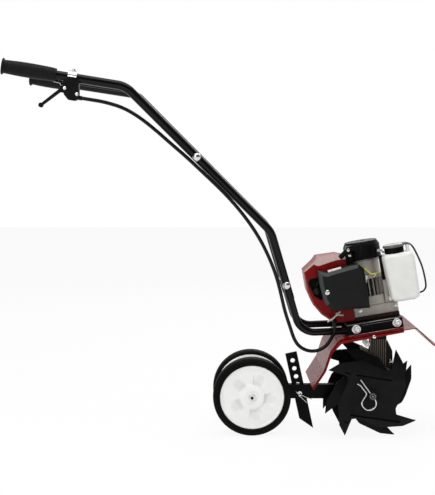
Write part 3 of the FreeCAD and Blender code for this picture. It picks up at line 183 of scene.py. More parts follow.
def finish(name, colour, rough, grain=900.0, bump=0.05, metal=0.0, coat=0.0, shade=0.12, rough_spread=0.06,
           worn=None, soft=0.0, gloss=0.5):
    """Surface with its own grain, slow colour change, patchy gloss and, where it is worn, paler rubbed spots."""
    material = bpy.data.materials.new(name)
    material.use_nodes = True
    tree = material.node_tree
    place = tree.nodes.new("ShaderNodeTexCoord").outputs["Object"]
    dark, pale = ([min(1, c * share) for c in colour] + [1] for share in (1 - shade, 1 + shade))
    tone = blend(tree, spread(tree, noise(tree, place, PATCH_SCALE), 0, 1), dark, pale)
    if worn:
        rubbed = spread(tree, noise(tree, place, RUB_SCALE, 6.0), 0, 0.7, 0.66, 0.72)
        tone = blend(tree, rubbed, tone, list(worn) + [1])
    patchy = spread(tree, noise(tree, place, 3.1 * PATCH_SCALE), rough - rough_spread, rough + rough_spread)
    relief = node_of(tree, "ShaderNodeBump", Strength=bump, Distance=0.0004, Height=noise(tree, place, grain, 2.0))
    inputs = {"Base Color": tone, "Metallic": metal, "Roughness": patchy, "Normal": relief.outputs["Normal"],
              "Coat Weight": coat, "Coat Roughness": 0.06, "Specular IOR Level": gloss}
    if soft:
        inputs.update({"Subsurface Weight": soft, "Subsurface Radius": (0.012, 0.011, 0.009)})
    for title, value in inputs.items():
        feed(tree, tree.nodes["Principled BSDF"].inputs[title], value)
    return material


FINISH = {
    "black_tube": finish("gloss black tube paint", (0.004, 0.004, 0.0045), 0.1, 500, 0.02, coat=0.14,
                         rough_spread=0.03, gloss=0.12),
    "black_paint": finish("satin black frame paint", (0.0035, 0.0034, 0.0034), 0.3, 1100, 0.08, gloss=0.06),
    "red_paint": finish("red sheet paint", (0.185, 0.0018, 0.0024), 0.3, 420, 0.04, coat=0.06, shade=0.07,
                        gloss=0.09),
    "red_plastic": finish("red moulded shroud", (0.21, 0.0018, 0.002), 0.3, 600, coat=0.06, shade=0.07, gloss=0.1),
    "charcoal_plastic": finish("charcoal moulded guard", (0.006, 0.0062, 0.0066), 0.46, 2600, 0.22, gloss=0.2),
    "black_plastic": finish("black moulded plastic", (0.0045, 0.0045, 0.0047), 0.34, 2200, 0.12, gloss=0.08),
    "white_plastic": finish("white moulded hub", (0.95, 0.95, 0.935), 0.4, 900, 0.04, shade=0.02, gloss=0.35),
    "tank_plastic": finish("milky tank plastic", (0.83, 0.83, 0.80), 0.42, 700, 0.08, shade=0.03, soft=0.25),
    "tine_paint": finish("dark tine paint", (0.0095, 0.0095, 0.0097), 0.5, 900, 0.12, shade=0.16,
                         worn=(0.02, 0.0195, 0.019), gloss=0.05),
    "cast_grey": finish("blasted alloy casting", (0.44, 0.40, 0.365), 0.5, 2400, 0.3, metal=0.45),
    "cast_dark": finish("dark alloy casting", (0.16, 0.14, 0.125), 0.46, 1800, 0.3, metal=0.35),
    "steel": finish("heat-toned steel", (0.36, 0.33, 0.30), 0.36, 1200, 0.08, metal=0.9),
    "zinc": finish("bright zinc plate", (0.74, 0.74, 0.72), 0.24, 1500, metal=1.0, shade=0.08),
    "tyre": finish("tyre rubber", (0.0045, 0.0045, 0.0041), 0.6, 1600, 0.25, shade=0.2, worn=(0.018, 0.0175, 0.016),
                   gloss=0.07),
    "grip_rubber": finish("grip rubber", (0.009, 0.009, 0.0095), 0.5, 2600, 0.25, gloss=0.12),
    "boot_rubber": finish("plug boot rubber", (0.006, 0.0065, 0.0065), 0.5, 1500, 0.15, gloss=0.3),
    "cable_sheath": finish("cable sheath", (0.004, 0.004, 0.0045), 0.25, 900, 0.06, gloss=0.2),
    "hose_rubber": finish("hose rubber", (0.010, 0.010, 0.011), 0.42, 1200, 0.1, gloss=0.4),
    "gasket": finish("yellow gasket", (0.62, 0.60, 0.15), 0.45, 1500, 0.1),
    "label": finish("blank white label", (0.86, 0.86, 0.86), 0.35, 400, 0.02, shade=0.02),
    "smoke": finish("smoky plastic cap", (0.13, 0.13, 0.128), 0.24, 900, 0.04, coat=0.1),
    # dark strip; its brown tint is a painted reflection of the casting above
    "mount_strip": finish("dark strip with painted brown reflection", (0.030, 0.013, 0.011), 0.5, 1800, 0.2, gloss=0.15),
    # painted shadow along the folds of the tines
    "fold_shadow": finish("painted shadow line of a fold", (0.0012, 0.0012, 0.0012), 0.7, gloss=0.02),
    # painted shade for the gaps between the fins and between the ribs
    "casting_shadow": finish("painted shade between ribs", (0.014, 0.012, 0.011), 0.6, gloss=0.1),
    "oiled_shaft": finish("oiled shaft steel", (0.03, 0.029, 0.028), 0.36, 1200, 0.08, metal=0.5),
    # painted shade for the hub's pockets, lighter and deeper
    "pale_dust": finish("white plastic with light painted shade", (0.875, 0.875, 0.86), 0.45, 900, 0.04, shade=0.03, gloss=0.3),
    "pocket_dust": finish("white plastic with deep painted shade", (0.80, 0.80, 0.785), 0.5, 900, 0.04, shade=0.04, gloss=0.2),
    "dull_plate": finish("dull plated strip", (0.50, 0.475, 0.42), 0.4, 1500, 0.08, metal=0.25),
    # painted highlight on the muffler guard's bevels
    "cover_bevel": finish("charcoal bevel with painted highlight", (0.052, 0.056, 0.056), 0.5, 2600, 0.22, gloss=0.2),
    # painted sheen on the shroud's top bevels
    "shroud_bevel": finish("red bevel with painted sheen", (0.44, 0.29, 0.275), 0.3, 600, gloss=0.3),
    # painted highlight for thin lines along glossy edges
    "edge_highlight": finish("painted highlight on an edge", (0.34, 0.335, 0.33), 0.3, 1400, 0.1, metal=0.5),
}


# ======== mesh making
def keep(name, form, kind, body="chassis", replaces=None, ease=0.0, steps=2, sharp=32, place=TO_MODEL):
    """Make a piece from a form in the maker's frame, with its finish, eased edges and the body it rides on."""
    bmesh.ops.remove_doubles(form, verts=form.verts, dist=0.002)
    bmesh.ops.recalc_face_normals(form, faces=form.faces)
    form.transform(place)
    dress(name, mesh_of(name, form), kind, body, replaces, ease, steps, sharp)


def eased_edges(piece, width, steps, sharp):
    """Bevel on a piece's sharp edges, its width in millimetres."""
    bevel = piece.modifiers.new("eased edges", "BEVEL")
    bevel.width = width / 1000
    bevel.segments = steps
    bevel.limit_method = "ANGLE"
    bevel.angle_limit = math.radians(sharp)
    return bevel


def dress(name, mesh, kind, body="chassis", replaces=None, ease=0.0, steps=2, sharp=32):
    """Object for a mesh that is already in place."""
    mesh.materials.clear()
    mesh.materials.append(FINISH[kind])
    mesh.shade_smooth()
    mesh.set_sharp_from_angle(angle=math.radians(sharp))
    piece = linked(name, mesh)
    if ease:
        eased_edges(piece, ease, steps, sharp).harden_normals = True
    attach(piece, body)
    if replaces:
        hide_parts(replaces)
    return piece


def eased_node(node, kind, ease, steps=2):
    """Copy of a CAD node with its seams merged and its edges eased, in place of the node."""
    form = bmesh.new()
    form.from_mesh(NODES[node].data)
    bmesh.ops.remove_doubles(form, verts=form.verts, dist=2e-6)
    bmesh.ops.dissolve_limit(form, angle_limit=math.radians(0.6), verts=form.verts, edges=form.edges)
    name = node + "_eased"
    dress(name, mesh_of(name, form), kind, NODES[node]["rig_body"], node, ease, steps)


def join(forms):
    """One form from several."""
    whole = bmesh.new()
    for form in forms:
        mesh = mesh_of("part", form)
        whole.from_mesh(mesh)
        bpy.data.meshes.remove(mesh)
    return whole


def arc_points(before, corner, after, radius, chord):
    """Points round one corner of a path."""
    back = (before - corner).normalized()
    ahead = (after - corner).normalized()
    half = back.angle(ahead) / 2
    centre = corner + (back + ahead).normalized() * (radius / math.sin(half))
    start = corner + back * (radius / math.tan(half)) - centre
    axis = back.cross(ahead).normalized()
    turn = math.pi - 2 * half
    count = max(2, math.ceil(radius * turn / chord))
    return [centre + Matrix.Rotation(-turn * i / count, 3, axis) @ start for i in range(count + 1)]


def path_of(points, radii, chord):
    """Straight runs with a tangent arc at each corner."""
    line = [points[0]]
    for before, corner, after, radius in zip(points, points[1:], points[2:], radii):
        line += arc_points(before, corner, after, radius, chord)
    return line + [points[-1]]


def headings(line):
    """Direction of a line at each of its points."""
    return [(after - before).normalized() for before, after in zip(line[:1] + line, line[1:] + line[-1:])]


def walls(form, rings):
    """Faces between each closed ring of corners and the next."""
    for ring, following in zip(rings, rings[1:]):
        for i in range(len(ring)):
            form.faces.new((ring[i - 1], ring[i], following[i], following[i - 1]))


def solid(rings):
    """Form through rings with as many corners, closed by a face at each end."""
    form = bmesh.new()
    rings = [[form.verts.new(corner) for corner in ring] for ring in rings]
    form.faces.new(rings[0])
    form.faces.new(rings[-1])
    walls(form, rings)
    return form


def sweep(line, section):
    """Solid with a closed section, given as (across, up) corners, carried along a line."""
    tangent = (line[1] - line[0]).normalized()
    side = tangent.orthogonal().normalized()
    rings = []
    for point, ahead in zip(line, headings(line)):
        side = tangent.rotation_difference(ahead) @ side
        tangent = ahead
        up = tangent.cross(side)
        rings.append([point + (side * a + up * b) for a, b in section])
    return solid(rings)


def polar(radius, degrees):
    """Plane corner at a radius and an angle."""
    angle = math.radians(degrees)
    return radius * math.cos(angle), radius * math.sin(angle)


def circle(radius, sides):
    """Corners of a round section."""
    return [polar(radius, 360 * i / sides) for i in range(sides)]


def rounded(outline, radii, steps=5):
    """Plane outline with rounded corners; a radius of 0 leaves a corner sharp."""
    corners = [Vector((x, 0, z)) for x, z in outline]
    line = []
    for i, radius in enumerate(radii if isinstance(radii, list) else [radii] * len(corners)):
        if radius:
            before, after = corners[i - 1], corners[(i + 1) % len(corners)]
            turn = math.pi - (before - corners[i]).angle(after - corners[i])
            line += arc_points(before, corners[i], after, radius, max(0.2, radius * turn / steps))
        else:
            line.append(corners[i])
    return [(p.x, p.z) for p in line]


def stack(layers):
    """Solid through side-view outlines with as many corners, each at its own y."""
    return solid([[(x, y, z) for x, z in outline] for y, outline in layers])


def slab(outline, y0, y1):
    """Prism with a side-view outline."""
    return stack([(y0, outline), (y1, outline)])


def inset(outline, depth):
    """Outline moved inwards by a depth."""
    corners = [Vector(c) for c in outline]
    area = sum(a.x * b.y - b.x * a.y for a, b in zip(corners, corners[1:] + corners[:1]))
    sign = 1 if area > 0 else -1
    moved = []
    for i, corner in enumerate(corners):
        a = (corner - corners[i - 1]).normalized()
        b = (corners[(i + 1) % len(corners)] - corner).normalized()
        normal = Vector((-a.y - b.y, a.x + b.x)).normalized() * sign
        moved.append(tuple(corner + normal * (depth / max(0.3, math.cos(a.angle(b) / 2)))))
    return moved


def bisected(form, place, normal, **more):
    """Cut a form's faces along a plane."""
    bmesh.ops.bisect_plane(form, geom=form.verts[:] + form.edges[:] + form.faces[:], plane_co=place, plane_no=normal,
                           **more)


def carved(form, *cutters):
    """Form with other forms taken out of it."""
    host = linked("carved", mesh_of("carved", form))
    tools = []
    for cutter in cutters:
        bmesh.ops.recalc_face_normals(cutter, faces=cutter.faces)
        tools.append(linked("cutter", mesh_of("cutter", cutter)))
        cut = host.modifiers.new("cut", "BOOLEAN")
        cut.object = tools[-1]
        cut.solver = "EXACT"
    result = bmesh.new()
    result.from_mesh(built(host))
    for item in [host] + tools:
        bpy.data.objects.remove(item)
    return result


def block(x0, x1, y0, y1, z0, z1):
    """Plain block."""
    return slab([(x0, z0), (x1, z0), (x1, z1), (x0, z1)], y0, y1)


def lathe(profile, place=Matrix(), steps=28):
    """Solid of revolution about the z axis from (radius, height) corners; radius 0 closes the ends."""
    form = bmesh.new()
    rings = [[form.verts.new((x, y, height)) for x, y in (circle(radius, steps) if radius else [(0, 0)])]
             for radius, height in profile]
    first = rings[:1] if len(rings[0]) > 1 else []
    for ring, following in zip(rings, rings[1:] + first):
        for i in range(steps):
            corners = dict.fromkeys((ring[(i - 1) % len(ring)], ring[i % len(ring)], following[i % len(following)],
                                     following[(i - 1) % len(following)]))
            if len(corners) > 2:
                form.faces.new(list(corners))
    form.transform(place)
    return form


def pointing(place, direction):
    """Matrix that stands a turned form at a place with its z axis along a direction."""
    return Matrix.Translation(place) @ Vector(direction).to_track_quat("Z", "Y").to_matrix().to_4x4()


def on_sides(place, *spots):
    """Places on both sides of the machine, each with the way out."""
    return [(place(x, side * y, z), (0, side, 0)) for x, y, z in spots for side in (-1, 1)]


def tree_of(name, **inputs):
    """Geometry nodes tree with a host's geometry, some named inputs and a finish going in, and geometry out."""
    tree = bpy.data.node_groups.new(name, "GeometryNodeTree")
    for title, kind in {"Geometry": "Geometry", **inputs, "Finish": "Material"}.items():
        tree.interface.new_socket(title, in_out="INPUT", socket_type="NodeSocket" + kind)
    tree.interface.new_socket("Geometry", in_out="OUTPUT", socket_type="NodeSocketGeometry")
    return tree, tree.nodes.new("NodeGroupInput").outputs


def coated(tree, copies, material):
    """Close a tree: its copies become plain geometry with a finish."""
    real = node_of(tree, "GeometryNodeRealizeInstances", copies.outputs[0])
    coat = node_of(tree, "GeometryNodeSetMaterial", real.outputs[0], Material=material)
    node_of(tree, "NodeGroupOutput", coat.outputs[0])
    return tree


def repeat_tree():
    """Geometry nodes: copies of the host's mesh, each turned on from the one before."""
    tree, given = tree_of("repeat", Copies="Int", Turn="Vector")
    index = tree.nodes.new("GeometryNodeInputIndex").outputs[0]
    turn = node_of(tree, "ShaderNodeVectorMath", given["Turn"], operation="SCALE", Scale=index)
    points = node_of(tree, "GeometryNodePoints", Count=given["Copies"])
    copies = node_of(tree, "GeometryNodeInstanceOnPoints", Points=points.outputs[0],
                     Instance=given["Geometry"], Rotation=turn.outputs[0])
    return coated(tree, copies, given["Finish"])


def fastener_tree():
    """Geometry nodes: a head stood on every point of the host, along the point's own aim."""
    tree, given = tree_of("fasteners", Head="Object")
    head = node_of(tree, "GeometryNodeObjectInfo", Object=given["Head"])
    aim = node_of(tree, "GeometryNodeInputNamedAttribute", data_type="FLOAT_VECTOR", Name="aim")
    stand = node_of(tree, "FunctionNodeAlignEulerToVector", axis="Z", Vector=aim.outputs[0])
    heads = node_of(tree, "GeometryNodeInstanceOnPoints", Points=given["Geometry"],
                    Instance=head.outputs["Geometry"], Rotation=stand.outputs[0])
    return coated(tree, heads, given["Finish"])


REPEAT = repeat_tree()
FASTENERS = fastener_tree()


def grown(host, tree, **values):
    """Plain mesh that a geometry nodes tree makes from a host object; the host is removed."""
    modifier = host.modifiers.new(tree.name, "NODES")
    modifier.node_group = tree
    for item in tree.interface.items_tree:
        if item.name in values:
            modifier[item.identifier] = values[item.name]
    mesh = built(host)
    bpy.data.objects.remove(host)
    return mesh


def repeated(name, form, kind, copies, place, ease=0.0):
    """Piece made of copies of one form, evenly round the z axis."""
    mesh = grown(linked(name, mesh_of(name, form)), REPEAT, Copies=copies, Turn=(0, 0, 2 * math.pi / copies),
                 Finish=FINISH[kind])
    mesh.transform(TO_MODEL @ place)
    dress(name, mesh, kind, ease=ease)


def fastened(name, head, places):
    """Plated piece made of one fastener head stood at several places, each with the way it points."""
    mesh = bpy.data.meshes.new(name)
    mesh.from_pydata([tuple(place) for place, aim in places], [], [])
    mesh.attributes.new("aim", "FLOAT_VECTOR", "POINT")
    for item, (place, aim) in zip(mesh.attributes["aim"].data, places):
        item.vector = aim
    model = linked(name + "_head", mesh_of(name + "_head", head))
    made = grown(linked(name, mesh), FASTENERS, Head=model, Finish=FINISH["zinc"])
    bpy.data.objects.remove(model)
    made.transform(TO_MODEL)
    dress(name, made, "zinc")


# ======== fastener heads
def hexagon(across):
    """Corners of a hexagon by its size across flats, turned a little as a tightened head is."""
    return [polar(across / math.sqrt(3), 60 * i + 12) for i in range(6)]


def upright(outline, z0, z1, shrink=1.0):
    """Prism standing on z, its top outline shrunk for a bevel."""
    return solid([[(x, y, z0) for x, y in outline], [(x * shrink, y * shrink, z1) for x, y in outline]])


def flange_bolt(across, washer, height):
    """Hexagon head on its own washer, with a domed, dished top."""
    disc = lathe([(0, 0), (washer, 0), (washer, 0.9), (washer - 1, 1.6), (0, 1.6)])
    skirt = upright(hexagon(across), 1.4, height - 0.8)
    cap = upright(hexagon(across), height - 0.8, height, 0.88)
    dish = lathe([(0, height - 0.1), (across * 0.28, height - 0.1), (across * 0.36, height + 0.35),
                  (across * 0.40, height - 0.1), (0, height - 0.5)], steps=20)
    return join([disc, skirt, cap, dish])


def dome_bolt(radius, height):
    """Round-headed carriage bolt."""
    profile = [(0, 0), (radius, 0), (radius, 0.8)]
    profile += [(radius * math.cos(math.radians(a)), 0.8 + (height - 0.8) * math.sin(math.radians(a)))
                for a in (18, 36, 54, 72)]
    return lathe(profile + [(0, height)])


def pan_screw(radius, height):
    """Pan head with a cross recess."""
    head = lathe([(0, 0), (radius, 0), (radius, height * 0.55), (radius * 0.82, height * 0.9),
                  (radius * 0.42, height), (radius * 0.36, height * 0.62), (0, height * 0.62)], steps=24)
    bars = [upright([(-a, -b), (a, -b), (a, b), (-a, b)], height * 0.3, height * 0.66)
            for a, b in ((radius * 0.36, radius * 0.07), (radius * 0.07, radius * 0.36))]
    return join([head] + bars)


# ======== handle
# the left tube's corners, and the distances of its bolted joints and of the tubes' ends from them
GRIP_END = (-519.0, 222.0, 943.0)
UPPER_BEND = (-224.8, 197.0, 896.5)
MIDDLE_BEND = (135.5, 116.0, 535.3)
LOWER_BEND = (214.6, 72.0, 269.7)
UPPER_JOINT, UPPER_END = 246.3, 294.3
LOWER_JOINT, LOWER_END = 146.1, 186.1


def sided(place, side):
    return Vector((place[0], side * place[1], place[2]))


def toward(start, end, distance):
    return start + (end - start).normalized() * distance


def handle_tubes(side, name):
    """The three black tubes of one side."""
    grip, upper, middle, lower = (sided(p, side) for p in (GRIP_END, UPPER_BEND, MIDDLE_BEND, LOWER_BEND))
    upper_end = toward(upper, middle, UPPER_END)
    rails = [on_engine(x, side * RAIL[0], RAIL[1]) for x in (-92.0, 54.0)]
    for part, corners, bends, radius, sides, ease in (
            ("upper", [grip, upper, upper_end], [60], TUBE, 40, 0.6),
            ("middle", [toward(upper_end, middle, 0.5), middle, toward(middle, lower, LOWER_END)], [70],
             TUBE - 0.35, 40, 0.6),
            ("lower", [toward(middle, lower, LOWER_JOINT - 25), lower] + rails, [50, 90], LOWER_TUBE, 36, 0.8)):
        keep("%s_tube_%s" % (part, name), sweep(path_of(corners, bends, 2.0), circle(radius, sides)), "black_tube",
             replaces="%s_handle_%s" % (part, name), ease=ease)


def grip(side, name):
    """Moulded rubber grip: tapered sleeve, fine ribs round it and a flange at its outer end."""
    def swell(z):
        """Extra radius of the barrel at a height, fullest near its middle."""
        return 1.9 * math.sin(math.pi * ramp(z, 8.5, 130.5) ** 0.9)

    inner, bend = sided(GRIP_END, side), sided(UPPER_BEND, side)
    axis = (bend - inner).normalized()
    place = pointing(inner - axis * 4, axis)
    sleeve = [(0, 0), (17.5, 0), (20.0, 1.2), (20.4, 3.0), (19.4, 4.8), (16.8, 6.5), (16.2, 8.5)]
    sleeve += [(16.2 + swell(z), z) for z in (8.5 + i * 12.2 for i in range(1, 10))]
    sleeve += [(15.9, 130.5), (15.7, 132.4), (14.6, 133.0), (11.4, 133.0), (11.4, 4.2), (0, 4.2)]
    keep("grip_sleeve_" + name, lathe(sleeve, place, 48), "grip_rubber", replaces="grip_" + name)
    ribs = []
    for z in (11.0 + 3.2 * i for i in range(37)):
        r = 16.05 + swell(z)
        ribs += [(r, z - 0.9), (r + 0.45, z - 0.45), (r + 0.45, z + 0.45), (r, z + 0.9)]
    ribs = lathe([(12.5, 8.6)] + ribs + [(12.5, 130.0)], place, 48)
    keep("grip_ribs_" + name, ribs, "grip_rubber", sharp=40)


def handle_fittings():
    """Bolts at the tube joints."""
    outer, washers = [], []
    for side in (-1, 1):
        upper, middle, lower = (sided(p, side) for p in (UPPER_BEND, MIDDLE_BEND, LOWER_BEND))
        for start, end, distance in ((upper, middle, UPPER_JOINT), (middle, lower, LOWER_JOINT)):
            centre = toward(start, end, distance)
            out = Vector((0, side, 0))
            out -= (end - start).normalized() * out.dot((end - start).normalized())
            out.normalize()
            outer.append((centre + out * (TUBE - 1.2), out))
            washers.append((centre - out * (TUBE - 1.2), -out))
    fastened("handle_bolts", dome_bolt(10.2, 6.4), outer)
    fastened("handle_nuts", flange_bolt(13, 9.5, 8), washers)


for side, name in SIDES:
    handle_tubes(side, name)
    grip(side, name)
handle_fittings()
eased_node("handle_crossbar", "black_tube", 0.4)


def throttle_point(x, z, y=0.0):
    """Place given from the middle of the throttle clamp, in the tube's side view."""
    grip_end, bend = sided(GRIP_END, -1), sided(UPPER_BEND, -1)
    slope = math.atan2(grip_end.z - bend.z, bend.x - grip_end.x)
    return toward(bend, grip_end, 130.0) + Vector((x * math.cos(slope) + z * math.sin(slope), y,
                                                   z * math.cos(slope) - x * math.sin(slope)))


def throttle_fittings():
    """Plated saddle and screw over the tube, pivots, and the spring tab behind the trigger."""
    eased_node("throttle_housing", "black_plastic", 1.0, 3)
    eased_node("throttle_lever", "black_plastic", 0.8)
    place = pointing(throttle_point(0, 0), throttle_point(1, 0) - throttle_point(0, 0))
    arch = lathe([(11.45, -11.5), (15.6, -11.5), (16.5, -10.5), (16.5, 10.5), (15.6, 11.5), (11.45, 11.5)],
                 place, 64)
    level = throttle_point(0, 1) - throttle_point(0, 0)
    bisected(arch, throttle_point(0, 0.5), level, clear_inner=True)
    bmesh.ops.holes_fill(arch, edges=[e for e in arch.edges if e.is_boundary], sides=12)
    keep("throttle_saddle", arch, "zinc", ease=0.3)
    fastened("throttle_screws", pan_screw(4.4, 5.0), [(throttle_point(1, 16.2), tuple(level))])
    fastened("throttle_pivots", pan_screw(4.2, 1.8), [(throttle_point(-14, -28.5, -11), OUT_RIGHT),
                                                      (throttle_point(17.5, -38.5, -11), OUT_RIGHT)])
    tab = path_of([throttle_point(-44, -14.5), throttle_point(-27, -15.5), throttle_point(-22.5, -22)], [4], 1.5)
    keep("throttle_spring", sweep(tab, [(-4, -0.9), (4, -0.9), (4, 0.9), (-4, 0.9)]), "zinc", ease=0.3)


throttle_fittings()


# ======== cables
def held_cable(name, places, diameter, kind, node):
    """Sheathed cable on one smooth line that leaves the machine and goes back into it."""
    curve = bpy.data.curves.new(name, "CURVE")
    curve.dimensions = "3D"
    line = curve.splines.new("NURBS")
    line.points.add(len(places) - 1)
    for point, place in zip(line.points, places):
        point.co = list(TO_MODEL @ place) + [1]
    line.order_u = 3
    line.use_endpoint_u = True
    line.resolution_u = 12
    piece = linked(name, curve)
    points = [corner.co for corner in built(piece).vertices]
    curve.bevel_depth = diameter / 2
    curve.bevel_resolution = 6
    curve.use_fill_caps = True
    curve.materials.append(FINISH[kind])
    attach(piece, "chassis")
    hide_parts(node)


CABLE_ROUTE = [(-276, -206, 858), (-229, -202, 844), (-188, -196, 819), (-150, -189, 788), (-114, -181, 756),
               (-78, -174, 725), (-42, -167, 691), (-7, -160, 658), (27, -153, 624), (59, -145, 587),
               (88, -137, 548), (113, -130, 507), (134, -122, 463), (151, -116, 418), (163, -109, 371),
               (171, -105, 336), (179, -102, 310), (188, -99, 284), (196, -97, 259), (209, -95, 238),
               (231, -93, 225.5), (256, -91, 224.5), (278.5, -90, 235.5), (292.5, -90, 255)]
held_cable("throttle_sheath",
           [throttle_point(30, -46), throttle_point(50, -46)] + [mm(*p) for p in CABLE_ROUTE]
           + [mm(302, -90, 275), mm(302, -90, 298)], CABLE_DIAMETER, "cable_sheath", "throttle_cable")

HOSE_ROUTE = [(103.674, 182.5), (112.224, 182.5), (120, 178), (126, 168), (131, 153), (136, 136), (140.5, 117),
              (142.6, 97), (143.4, 79), (143, 63.7), (138.2, 55.3), (129.8, 50.5), (121, 50.5)]
held_cable("breather_hose", [on_engine(x, -65, z) for x, z in HOSE_ROUTE], HOSE_DIAMETER, "hose_rubber", "fuel_line")


# ======== wheels
HUB_BORE = 6.6
POCKETS = [66 + 72 * i for i in range(5)]        # angles of the hub's pockets
POCKET_HALF = 21.5
POCKET_DEPTH = 8.5


def hub_depth(radius, angle):
    """How far the hub's face lies below the tyre's side at a place: boss, web and five ramped pockets."""
    if radius <= 19:
        return 0.6 + 1.2 * (11 < radius < 17)
    if radius <= 31:
        return 0.6 + 1.6 * ((radius - 19) / 12) ** 2
    depth = 2.2 + 3.0 * ramp(radius, 31, 36)
    nearest = min(abs((angle - pocket + 180) % 360 - 180) for pocket in POCKETS)
    edge = ramp((POCKET_HALF - nearest) * math.radians(1) * radius, 0, 5)
    depth += POCKET_DEPTH * edge * ramp(radius, 31.5, 33.5) * ramp(-radius, -63, -37)
    rim = ramp(radius, 76, 81)
    return depth * (1 - rim) + 2.6 * rim


def at_wheel(form, side):
    """Form made for the left face of a wheel, mirrored for the right wheel and moved to its place."""
    form.transform(Matrix.Translation(wheel_middle(side)) @ Matrix.Diagonal((1, side, 1, 1)))
    return form


def hub(side, name):
    """White moulded hub: raised boss, shallow ramped pockets and a rim that meets the tyre."""
    steps = 180
    radii = [HUB_BORE, 7.4, 10.9, 11.4, 16.6, 17.4, 19, 22, 25, 28, 31, 32, 33, 34, 35, 36, 38, 41, 44, 47, 50, 53,
             56, 59, 62, 64, 68, 72, 76, 77.5, 79, 81, 82.2, 83.1]
    form = bmesh.new()
    faces = []
    for way in (1, -1):
        rings = []
        for radius in radii:
            chamfer = 0.5 * (radius in (radii[0], radii[-1]))
            rings.append([])
            for angle in (360 * i / steps for i in range(steps)):
                x, z = polar(radius, angle)
                drop = hub_depth(radius, angle if way > 0 else 180 - angle) + chamfer
                rings[-1].append(form.verts.new((x, way * (WHEEL_HALF - drop), z)))
        walls(form, rings)
        faces.append(rings)
    for end in (0, -1):
        walls(form, [rings[end] for rings in faces])
    keep("hub_moulding_" + name, at_wheel(form, side), "white_plastic", "wheel_" + name, "wheel_hub_" + name,
         sharp=50)


def pocket_shade_skins(side, name, kind, radii, width, lift):
    """Skins of painted shade on the floors of the five pockets, narrower towards the rim."""
    form = bmesh.new()
    steps = 11
    for pocket in POCKETS:
        rims = []
        for height in (lift, -0.3):
            grid = []
            for radius in radii:
                half = width - 0.3 * max(0.0, radius - 37) ** 1.1 - 2.5 * (radius in (radii[0], radii[-1]))
                grid.append([])
                for angle in (pocket + half * (2 * i / (steps - 1) - 1) for i in range(steps)):
                    x, z = polar(radius, angle)
                    grid[-1].append(form.verts.new((x, WHEEL_HALF - hub_depth(radius, angle) + height, z)))
            for row, following in zip(grid, grid[1:]):
                for i in range(1, steps):
                    form.faces.new((row[i - 1], row[i], following[i], following[i - 1]))
            rims.append(grid[0] + [row[-1] for row in grid[1:]] + grid[-1][-2::-1] + [row[0] for row in grid[-2:0:-1]])
        walls(form, rims)
    keep(kind + "_" + name, at_wheel(form, side), kind, "wheel_" + name, sharp=60)


def wheel(side, name):
    """Solid tyre with fine running grooves on a white hub with five sunk pockets."""
    body = "wheel_" + name
    place = pointing(wheel_middle(side), (0, side, 0))
    half = WHEEL_HALF
    edge = [(83.5, half), (92.0, half), (97.6, half - 1.2), (99.9, half - 3.6)]
    tread = [(radius, -y) for radius, y in edge]
    for i in range(6):
        y = -half + 5.4 + i * 5.86
        crown = TYRE_RADIUS - 1.3 * ((y + 2.3) / half) ** 2
        tread += [(crown, y), (crown, y + 4.4), (crown - 1.5, y + 4.7), (crown - 1.5, y + 5.5)]
    tread = tread[:-2] + edge[::-1]
    keep("tyre_body_" + name, lathe(tread, place, 144), "tyre", body, "tyre_" + name, sharp=28)
    bead = lathe([(88.6, half - 0.4), (89.4, half), (90.4, half), (91.2, half - 0.4)], place, 144)
    keep("tyre_bead_" + name, bead, "tyre", body)
    flange = lathe([(81.0, -half + 0.6), (81.0, -half - 0.3), (82.0, -half - 0.8), (91.0, -half - 0.8),
                    (91.8, -half - 0.4), (91.8, -half + 0.3)], place, 144)
    keep("hub_flange_" + name, flange, "white_plastic", body)
    hub(side, name)
    # painted shade: paler and darker grey skins over the pocket floors
    pocket_shade_skins(side, name, "pale_dust", (33, 35, 38, 42, 46, 50, 54, 58, 62), 18.5, 0.2)
    pocket_shade_skins(side, name, "pocket_dust", (33, 34, 36, 38.5, 41), 13.5, 0.45)


for side, name in SIDES:
    wheel(side, name)
eased_node("wheel_axle", "zinc", 0.8, 3)
for side, name in SIDES:
    centre = Vector((WHEEL.x, side * 90.0, WHEEL.z))
    button = lathe([(0, 0.05), (3.6, 0.05), (4.0, 0.5), (0, 0.6)], pointing(centre, (0, side, 0)), 32)
    keep("axle_cap_" + name, button, "black_plastic")


# ======== tines
TINE_RADIUS = 130.1        # of the plate's middle, so that the corners of the folded tips stay on the ground
# one quarter of a plate's outline: share of the radius, angle and the corner's rounding
TINE_QUARTER = [(1.0, 240.0, 0.0), (0.62, 231.5, 0.0), (0.54, 240.5, 7.0), (0.69, 284.0, 12.0),
                (0.885, 315.0, 16.0)]
TINE_PLATE = 4.0           # gauge of the plates
FOLD_START = 48.1          # distance of the folds from the shaft, where their bend starts and ends
FOLD_END = 50.9
FOLD_ANGLE = 26.0


